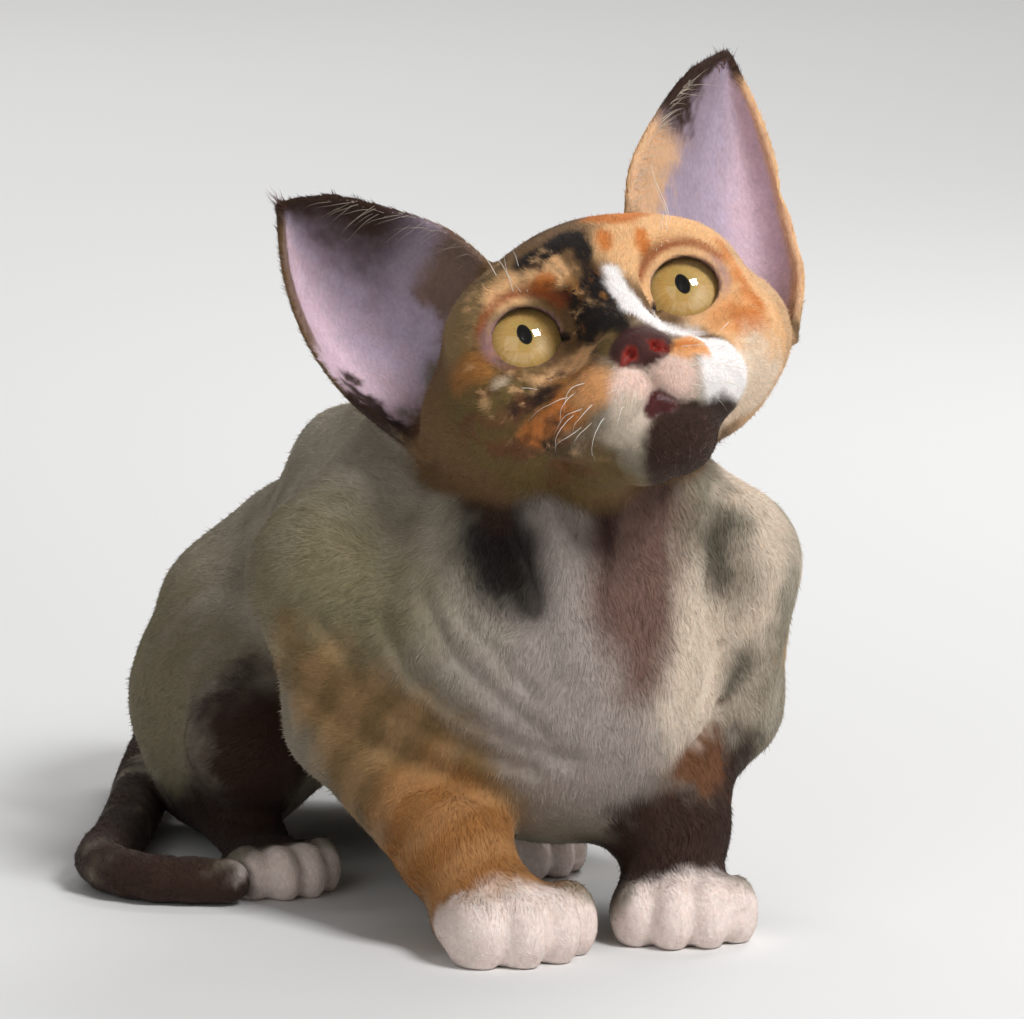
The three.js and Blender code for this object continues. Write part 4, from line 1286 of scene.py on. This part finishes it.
# %% Node tree for fine hairs
def hair_tree():
    """A tree that turns edges into curled, tapered hairs."""
    tree = bpy.data.node_groups.new("fine hairs", "GeometryNodeTree")
    tree.interface.new_socket("Geometry", in_out="INPUT", socket_type="NodeSocketGeometry")
    for label in ("Thickness", "Curl", "Curl Size"):
        tree.interface.new_socket(label, in_out="INPUT", socket_type="NodeSocketFloat")
    tree.interface.new_socket("Finish", in_out="INPUT", socket_type="NodeSocketMaterial")
    tree.interface.new_socket("Geometry", in_out="OUTPUT", socket_type="NodeSocketGeometry")

    def node(kind, inputs, output=0, **settings):
        made = tree.nodes.new(kind)
        for key, value in settings.items():
            setattr(made, key, value)
        for key, value in inputs.items():
            if isinstance(value, bpy.types.NodeSocket):
                tree.links.new(value, made.inputs[key])
            else:
                made.inputs[key].default_value = value
        return made.outputs[output]

    given = tree.nodes.new("NodeGroupInput").outputs
    curves = node("GeometryNodeMeshToCurve", {"Mesh": given["Geometry"]})
    curves = node("GeometryNodeResampleCurve", {"Curve": curves, "Count": 16})
    along = node("GeometryNodeSplineParameter", {}, "Factor")
    place = node("GeometryNodeInputPosition", {})
    lumps = node("ShaderNodeMath", {0: 1.0, 1: given["Curl Size"]}, operation="DIVIDE")
    noise = node("ShaderNodeTexNoise", {"Vector": place, "W": 3.0, "Scale": lumps, "Detail": 0.0}, "Color",
                 noise_dimensions="4D")
    centred = node("ShaderNodeVectorMath", {0: noise, 1: (0.5, 0.5, 0.5)}, operation="SUBTRACT")
    amount = node("ShaderNodeMath", {0: along, 1: given["Curl"]}, operation="MULTIPLY")
    push = node("ShaderNodeVectorMath", {0: centred, "Scale": amount}, operation="SCALE")
    curves = node("GeometryNodeSetPosition", {"Geometry": curves, "Offset": push})
    left = node("ShaderNodeMath", {0: 1.06, 1: along}, operation="SUBTRACT")
    radius = node("ShaderNodeMath", {0: left, 1: given["Thickness"]}, operation="MULTIPLY")
    ring = node("GeometryNodeCurvePrimitiveCircle", {"Resolution": 5, "Radius": 1.0})
    sweep = {"Curve": curves, "Profile Curve": ring, "Scale": radius, "Fill Caps": True}
    mesh = node("GeometryNodeCurveToMesh", sweep)
    mesh = node("GeometryNodeRealizeInstances", {"Geometry": mesh})
    mesh = node("GeometryNodeSetMaterial", {"Geometry": mesh, "Material": given["Finish"]})
    tree.links.new(mesh, tree.nodes.new("NodeGroupOutput").inputs[0])
    return tree


HAIR_TREE = hair_tree()
skin_tree = BVHTree.FromPolygons(skin_points.tolist(), skin_quads.tolist())


def fine_hairs(name, hairs, thickness, curl, curl_size, finish):
    """A piece of hairs, each a root near the skin, a way, a length and a bend in the head's axes."""
    steps = np.linspace(0, 1, 6)[:, None]
    lines = []
    for root, way, long, bend in hairs:
        at = np.array(skin_tree.find_nearest(from_head(root))[0])
        way = np.array(way, float)
        way /= np.linalg.norm(way)
        run = way * steps * long + np.array(bend, float) * steps ** 2 * long
        lines.append(at + (run - way * 0.4) @ HEAD_TURN.T)
    points = (np.concatenate(lines) + SHIFT) * 0.001
    edges = [(6 * i + j, 6 * i + j + 1) for i in range(len(lines)) for j in range(5)]
    mesh = bpy.data.meshes.new(name)
    mesh.from_pydata(points.tolist(), edges, [])
    piece = bpy.data.objects.new(name, mesh)
    bpy.context.scene.collection.objects.link(piece)
    grow = piece.modifiers.new("grow", "NODES")
    grow.node_group = HAIR_TREE
    values = {"Thickness": thickness * 0.001, "Curl": curl * 0.001, "Curl Size": curl_size * 0.001,
              "Finish": finish.material}
    for item in HAIR_TREE.interface.items_tree:
        if item.in_out == "INPUT" and item.name in values:
            grow[item.identifier] = values[item.name]
    depsgraph = bpy.context.evaluated_depsgraph_get()
    plain = bpy.data.meshes.new_from_object(piece.evaluated_get(depsgraph))
    piece.modifiers.remove(grow)
    piece.data = plain
    plain.shade_smooth()
    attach(piece, "root")
    print(name, len(hairs), "hairs,", len(plain.polygons), "faces")


# %% Whiskers, brows, chin and ear hairs
def hair_colour(name, shade):
    """A finish for fine hairs of one colour."""
    finish = Finish(name, Roughness=0.45, Subsurface_Weight=0.1, Subsurface_Scale=0.001)
    base = finish.node("ShaderNodeRGB", {}, {})
    base.default_value = (*shade, 1)
    finish.feed(Base_Color=finish.scaled(base, finish.noise(0.003) * 0.4 + 0.8))
    return finish


WHISKER_WHITE = hair_colour("whisker", tone(238, 232, 222))
CURL_BROWN = hair_colour("chin_curl", tone(128, 98, 84))
EAR_DOWN = hair_colour("ear_down", tone(206, 190, 172))
TIP_BROWN = hair_colour("ear_tip", tone(84, 46, 26))

whiskers = []
for side in (-1, 1):
    for row in range(3):
        for place in range(4):
            root = (side * (7 + 2.4 * place), -14 + 2.2 * place, -18.5 - 2.4 * row)
            way = (side * (0.8 + 0.1 * place), -0.45 + 0.12 * place, -0.25 * row + rng.uniform(-0.15, 0.2))
            bend = (-0.3 * side, rng.uniform(0.1, 0.5), rng.uniform(-0.6, 0.2))
            whiskers.append((root, way, rng.uniform(6, 13), bend))
    for place in range(4):
        root = (side * (13 + 1.6 * place), 1, 11 + 0.4 * place)
        way = (side * rng.uniform(-0.1, 0.5), -0.9, 0.9)
        whiskers.append((root, way, rng.uniform(9, 17), (0, rng.uniform(0.2, 0.5), rng.uniform(0, 0.3))))
    for place in range(2):
        root = (side * (22 - 6 * place), -2, -10 - 1.5 * place)
        whiskers.append((root, (-side * 0.7, -0.7, -0.45), rng.uniform(7, 11), (0, 0.5, -0.1)))
fine_hairs("whiskers", whiskers, 0.08, 4.0, 5.0, WHISKER_WHITE)

curls = []
for _ in range(70):
    root = (rng.uniform(-8, 12), rng.uniform(-13, -2), rng.uniform(-40, -30))
    way = (rng.uniform(-0.8, 0.8), -1, rng.uniform(-0.9, 0.5))
    curls.append((root, way, rng.uniform(2.2, 4.6), rng.uniform(-0.5, 0.5, 3)))
fine_hairs("chin_curls", curls, 0.035, 2.4, 2.0, CURL_BROWN)

down, tips = [], []
for side, ear in ears.items():
    mirror = np.array([ear.side, 1, 1])
    for share_up in rng.uniform(0.12, 0.8, 60):
        edge = through(EAR_LINES[0], [share_up])[0] + rng.uniform(-0.8, 0.8, 3)
        way = (rng.uniform(0.5, 0.9), rng.uniform(0.1, 0.5), rng.uniform(-0.1, 0.7))
        long = rng.uniform(4, 9.5)
        bend = (0, rng.uniform(0, 0.3), -0.15)
        down.append((edge * mirror, way * mirror, long, bend * mirror))
    for _ in range(26):
        root = np.array(EAR_LINES[0][-1]) + rng.uniform(-1.6, 0.8, 3)
        way = (rng.uniform(-0.1, 0.7), rng.uniform(-0.1, 0.5), 1)
        tips.append((root * mirror, way * mirror, rng.uniform(2, 4.4), rng.uniform(-0.3, 0.3, 3)))
fine_hairs("ear_down", down, 0.055, 1.6, 5.0, EAR_DOWN)
fine_hairs("ear_tips", tips, 0.08, 1.0, 2.5, TIP_BROWN)

# %% [markdown]
# A cat's cornea bulges like a watch glass over an iris that lies deep behind it, and the pupil is a hole.
# So the ball is made of rings: down in the pupil, out over the domed iris and round the back.
# The cornea is a thin clear shell of its own, and it gives the bright spot of light.

# %% Eyeball and cornea
IRIS_RADIUS = 8.3
PUPIL = (1.35, 2.25)
# The iris starts a little behind the front edge of the ball's white and rises by its dome to the pupil.
IRIS_DOME = 2.2
IRIS_BACK = 0.2
CORNEA_BULGE = 0.4
CORNEA_LAP = 0.15
CORNEA_THICK = 0.3
CORNEA_GLOSS = 0.045
GAZE_UP = 9.0
SPOKES = 168
spoke = np.arange(SPOKES) * 2 * math.pi / SPOKES
EYE_RIM = -math.sqrt(EYE_RADIUS ** 2 - IRIS_RADIUS ** 2)


def ring_mesh(radii, depths):
    """A closed body of rings about the y axis, from pole to pole, in triangles."""
    points = np.stack([radii * np.cos(spoke), depths, radii * np.sin(spoke)], 2).reshape(-1, 3)
    low = np.arange((len(radii) - 1) * SPOKES)
    after = low + 1 - SPOKES * (low % SPOKES == SPOKES - 1)
    sides = [np.stack([low, after, after + SPOKES], 1), np.stack([low, after + SPOKES, low + SPOKES], 1)]
    fan = np.arange(1, SPOKES - 1)
    caps = [np.stack([0 * fan, fan + 1, fan], 1), np.stack([0 * fan, fan, fan + 1], 1) + len(low)]
    return points, np.concatenate(sides + caps)


def ball_rings():
    """Rings of the ball, from the middle of the pupil out over the iris and round the back."""
    edge = 1 / np.hypot(np.cos(spoke) / PUPIL[0], np.sin(spoke) / PUPIL[1])
    radii, depths = [], []
    for t in (0.02, 0.5, 0.86, 0.97):
        radii.append(edge * t)
        depths.append(np.full(SPOKES, EYE_RIM + IRIS_BACK - IRIS_DOME * t ** 4))
    for t in np.linspace(0, 1, 34):
        radii.append(edge + (IRIS_RADIUS - 0.1 - edge) * t)
        depths.append(np.full(SPOKES, EYE_RIM + IRIS_BACK - IRIS_DOME * (1 - t ** 2)))
    for angle in np.linspace(math.asin(IRIS_RADIUS / EYE_RADIUS), math.pi - 0.02, 26):
        radii.append(np.full(SPOKES, EYE_RADIUS * math.sin(angle)))
        depths.append(np.full(SPOKES, -EYE_RADIUS * math.cos(angle)))
    return np.array(radii), np.array(depths)


def cornea_rings():
    """Rings of the clear shell, out along its front and back along its inside."""
    chord, height = IRIS_RADIUS + CORNEA_LAP, EYE_RADIUS + CORNEA_BULGE + EYE_RIM
    front = (chord ** 2 + height ** 2) / (2 * height)
    middle = front - EYE_RADIUS - CORNEA_BULGE
    radii, depths = [], []
    outside, inside = np.linspace(0.01, 1, 24), np.linspace(0.98, 0.01, 24)
    for radius, shares in ((front, outside), (front - CORNEA_THICK, inside)):
        half = math.asin(min(chord / front, 1)) * shares
        radii += [np.full(SPOKES, radius * math.sin(a)) for a in half]
        depths += [np.full(SPOKES, middle - radius * math.cos(a)) for a in half]
    return np.array(radii), np.array(depths)


IRIS_GOLD = tone(196, 154, 82)
IRIS_PALE = tone(208, 174, 108)
IRIS_GREEN = tone(176, 152, 76)
LIMBUS = tone(70, 52, 36)
EYE_WHITE = tone(196, 198, 202)


def iris_colour(points):
    """Gold with fine spokes, greener about the pupil, dark at its rim, and a pale bluish white behind."""
    across = np.hypot(points[:, 0], points[:, 2])
    turn = np.arctan2(points[:, 2], points[:, 0])
    edge = 1 / np.hypot(np.cos(turn) / PUPIL[0], np.sin(turn) / PUPIL[1])
    out = (across - edge) / (IRIS_RADIUS - edge)
    round_it = np.column_stack([np.cos(turn) * 9, np.sin(turn) * 9, across * 0.22])
    spokes = ripple(round_it, 0.55, 120) + 0.7 * ripple(round_it, 0.22, 121)
    flecks = ripple(points, 0.7, 122) + 0.6 * ripple(points, 0.35, 123)
    colour = mixed(np.tile(IRIS_GOLD, (len(points), 1)), IRIS_PALE, rise(0.45 + 0.4 * spokes))
    colour = mixed(colour, IRIS_GREEN, 0.6 * rise((0.36 - out + 0.08 * spokes) / 0.3))
    colour = mixed(colour, ORANGE, 0.45 * rise(0.9 * flecks - 0.35) * rise((0.75 - out) / 0.3))
    colour = mixed(colour, LIMBUS, rise((out - 0.93 + 0.02 * spokes) / 0.07))
    colour = mixed(colour, BLACK * 0.3, rise((0.03 - out) / 0.03))
    behind = (across - IRIS_RADIUS) / 0.3 + (points[:, 1] > EYE_RIM + 0.6)
    return mixed(colour, EYE_WHITE, rise(behind))


eye_finish = Finish("eye_iris", Roughness=0.3, Specular_IOR_Level=0.25)
fibres = eye_finish.noise(0.00022)
eye_finish.feed(Base_Color=eye_finish.scaled(eye_finish.attribute("coat"), fibres * 0.5 + 0.75))
eye_finish.bump(eye_finish.noise(0.0003), 0.00012, 0.5)
cornea_finish = Finish("eye_cornea")
clear = cornea_finish.node("ShaderNodeBsdfTransparent", {}, {})
shine = cornea_finish.node("ShaderNodeBsdfGlossy", {}, {"Roughness": 0.015})
# The gloss is the same at every angle, so no pale strip shows under the upper lid.
cover = cornea_finish.node("ShaderNodeMixShader", {}, {0: CORNEA_GLOSS, 1: clear, 2: shine})
cornea_finish.tree.links.new(cover, cornea_finish.tree.nodes["Material Output"].inputs["Surface"])

for side, name in ((1, "eye_left"), (-1, "eye_right")):
    gaze = HEAD_TURN @ turned((-GAZE_UP, 0, 0))
    middle = from_head(EYE_CENTRE * (side, 1, 1))
    points, faces = ring_mesh(*ball_rings())
    ball_piece = mesh_piece(f"{name}_ball", points @ gaze.T + middle, faces, eye_finish.material)
    set_colours(ball_piece, iris_colour(points))
    points, faces = ring_mesh(*cornea_rings())
    cornea = mesh_piece(f"{name}_cornea", points @ gaze.T + middle, faces, cornea_finish.material)
    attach(ball_piece, "root")
    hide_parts(name)
    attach(cornea, "root")
print("two eyes of", 2 * EYE_RADIUS, "mm")

# %% Place of the pieces
EYES = ("eye_left", "eye_right")
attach(skin, "root")
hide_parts(*sorted(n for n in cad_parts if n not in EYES))

# %% [markdown]
# The stage is one plain floor, wide enough to fill the picture from every side.
# The camera stands low before the cat's right side, 1.3 m away, with a long lens.
# A small key lamp from above draws the folds and lights the eyes, and a large weak one fills the shadows.
# A third lamp lights the edges from behind, and the last one lights the floor at the back.

# %% Floor
FLOOR_HALF = 7.0
floor_corners = [(x * FLOOR_HALF, y * FLOOR_HALF, 0.0) for x, y in ((-1, -1), (1, -1), (1, 1), (-1, 1))]
floor_mesh = bpy.data.meshes.new("floor")
floor_mesh.from_pydata(floor_corners, [], [(0, 1, 2, 3)])
floor = bpy.data.objects.new("floor", floor_mesh)
bpy.context.scene.collection.objects.link(floor)

# %% Camera
def look(obj, target):
    """Turns a camera or lamp towards a point."""
    obj.rotation_euler = (Vector(target) - obj.location).to_track_quat("-Z", "Y").to_euler()


TARGET = (np.array([-12.0, -62.0, 88.4]) + SHIFT) * 0.001
AZIMUTH, ELEVATION, DISTANCE = math.radians(-25), math.radians(9), 1.3
FOCAL_PIXELS, PICTURE_WIDTH, SENSOR = 6500, 1024, 36.0
level = math.cos(ELEVATION)
back = Vector((math.sin(AZIMUTH) * level, -math.cos(AZIMUTH) * level, math.sin(ELEVATION)))
camera_data = bpy.data.cameras.new("camera")
camera_data.sensor_width = SENSOR
camera_data.lens = FOCAL_PIXELS / PICTURE_WIDTH * SENSOR
camera = bpy.data.objects.new("camera", camera_data)
camera.location = Vector(TARGET) + back * DISTANCE
look(camera, TARGET)
bpy.context.scene.collection.objects.link(camera)
bpy.context.scene.camera = camera

# %% Light
def area_light(name, place, size, power, aim=(0, 0, 0.08)):
    """A square lamp of a size in metres and a power in watts, aimed at the cat unless told otherwise."""
    data = bpy.data.lights.new(name, "AREA")
    data.size = size
    data.energy = power
    light = bpy.data.objects.new(name, data)
    light.location = place
    look(light, aim)
    bpy.context.scene.collection.objects.link(light)


area_light("key", (0.3, -0.92, 0.98), 0.36, 13)
area_light("fill", (-1.0, -0.7, 0.5), 0.8, 1.8)
area_light("rim", (0.7, 0.45, 0.9), 0.5, 5)
area_light("far floor", (0.3, 1.6, 2.0), 1.6, 34, (0.9, 3.2, 0))
world = bpy.data.worlds.new("studio")
world.use_nodes = True
world.node_tree.nodes["Background"].inputs["Color"].default_value = (0.8, 0.78, 0.76, 1)
world.node_tree.nodes["Background"].inputs["Strength"].default_value = 0.25
bpy.context.scene.world = world
bpy.context.scene.view_settings.view_transform = "Standard"
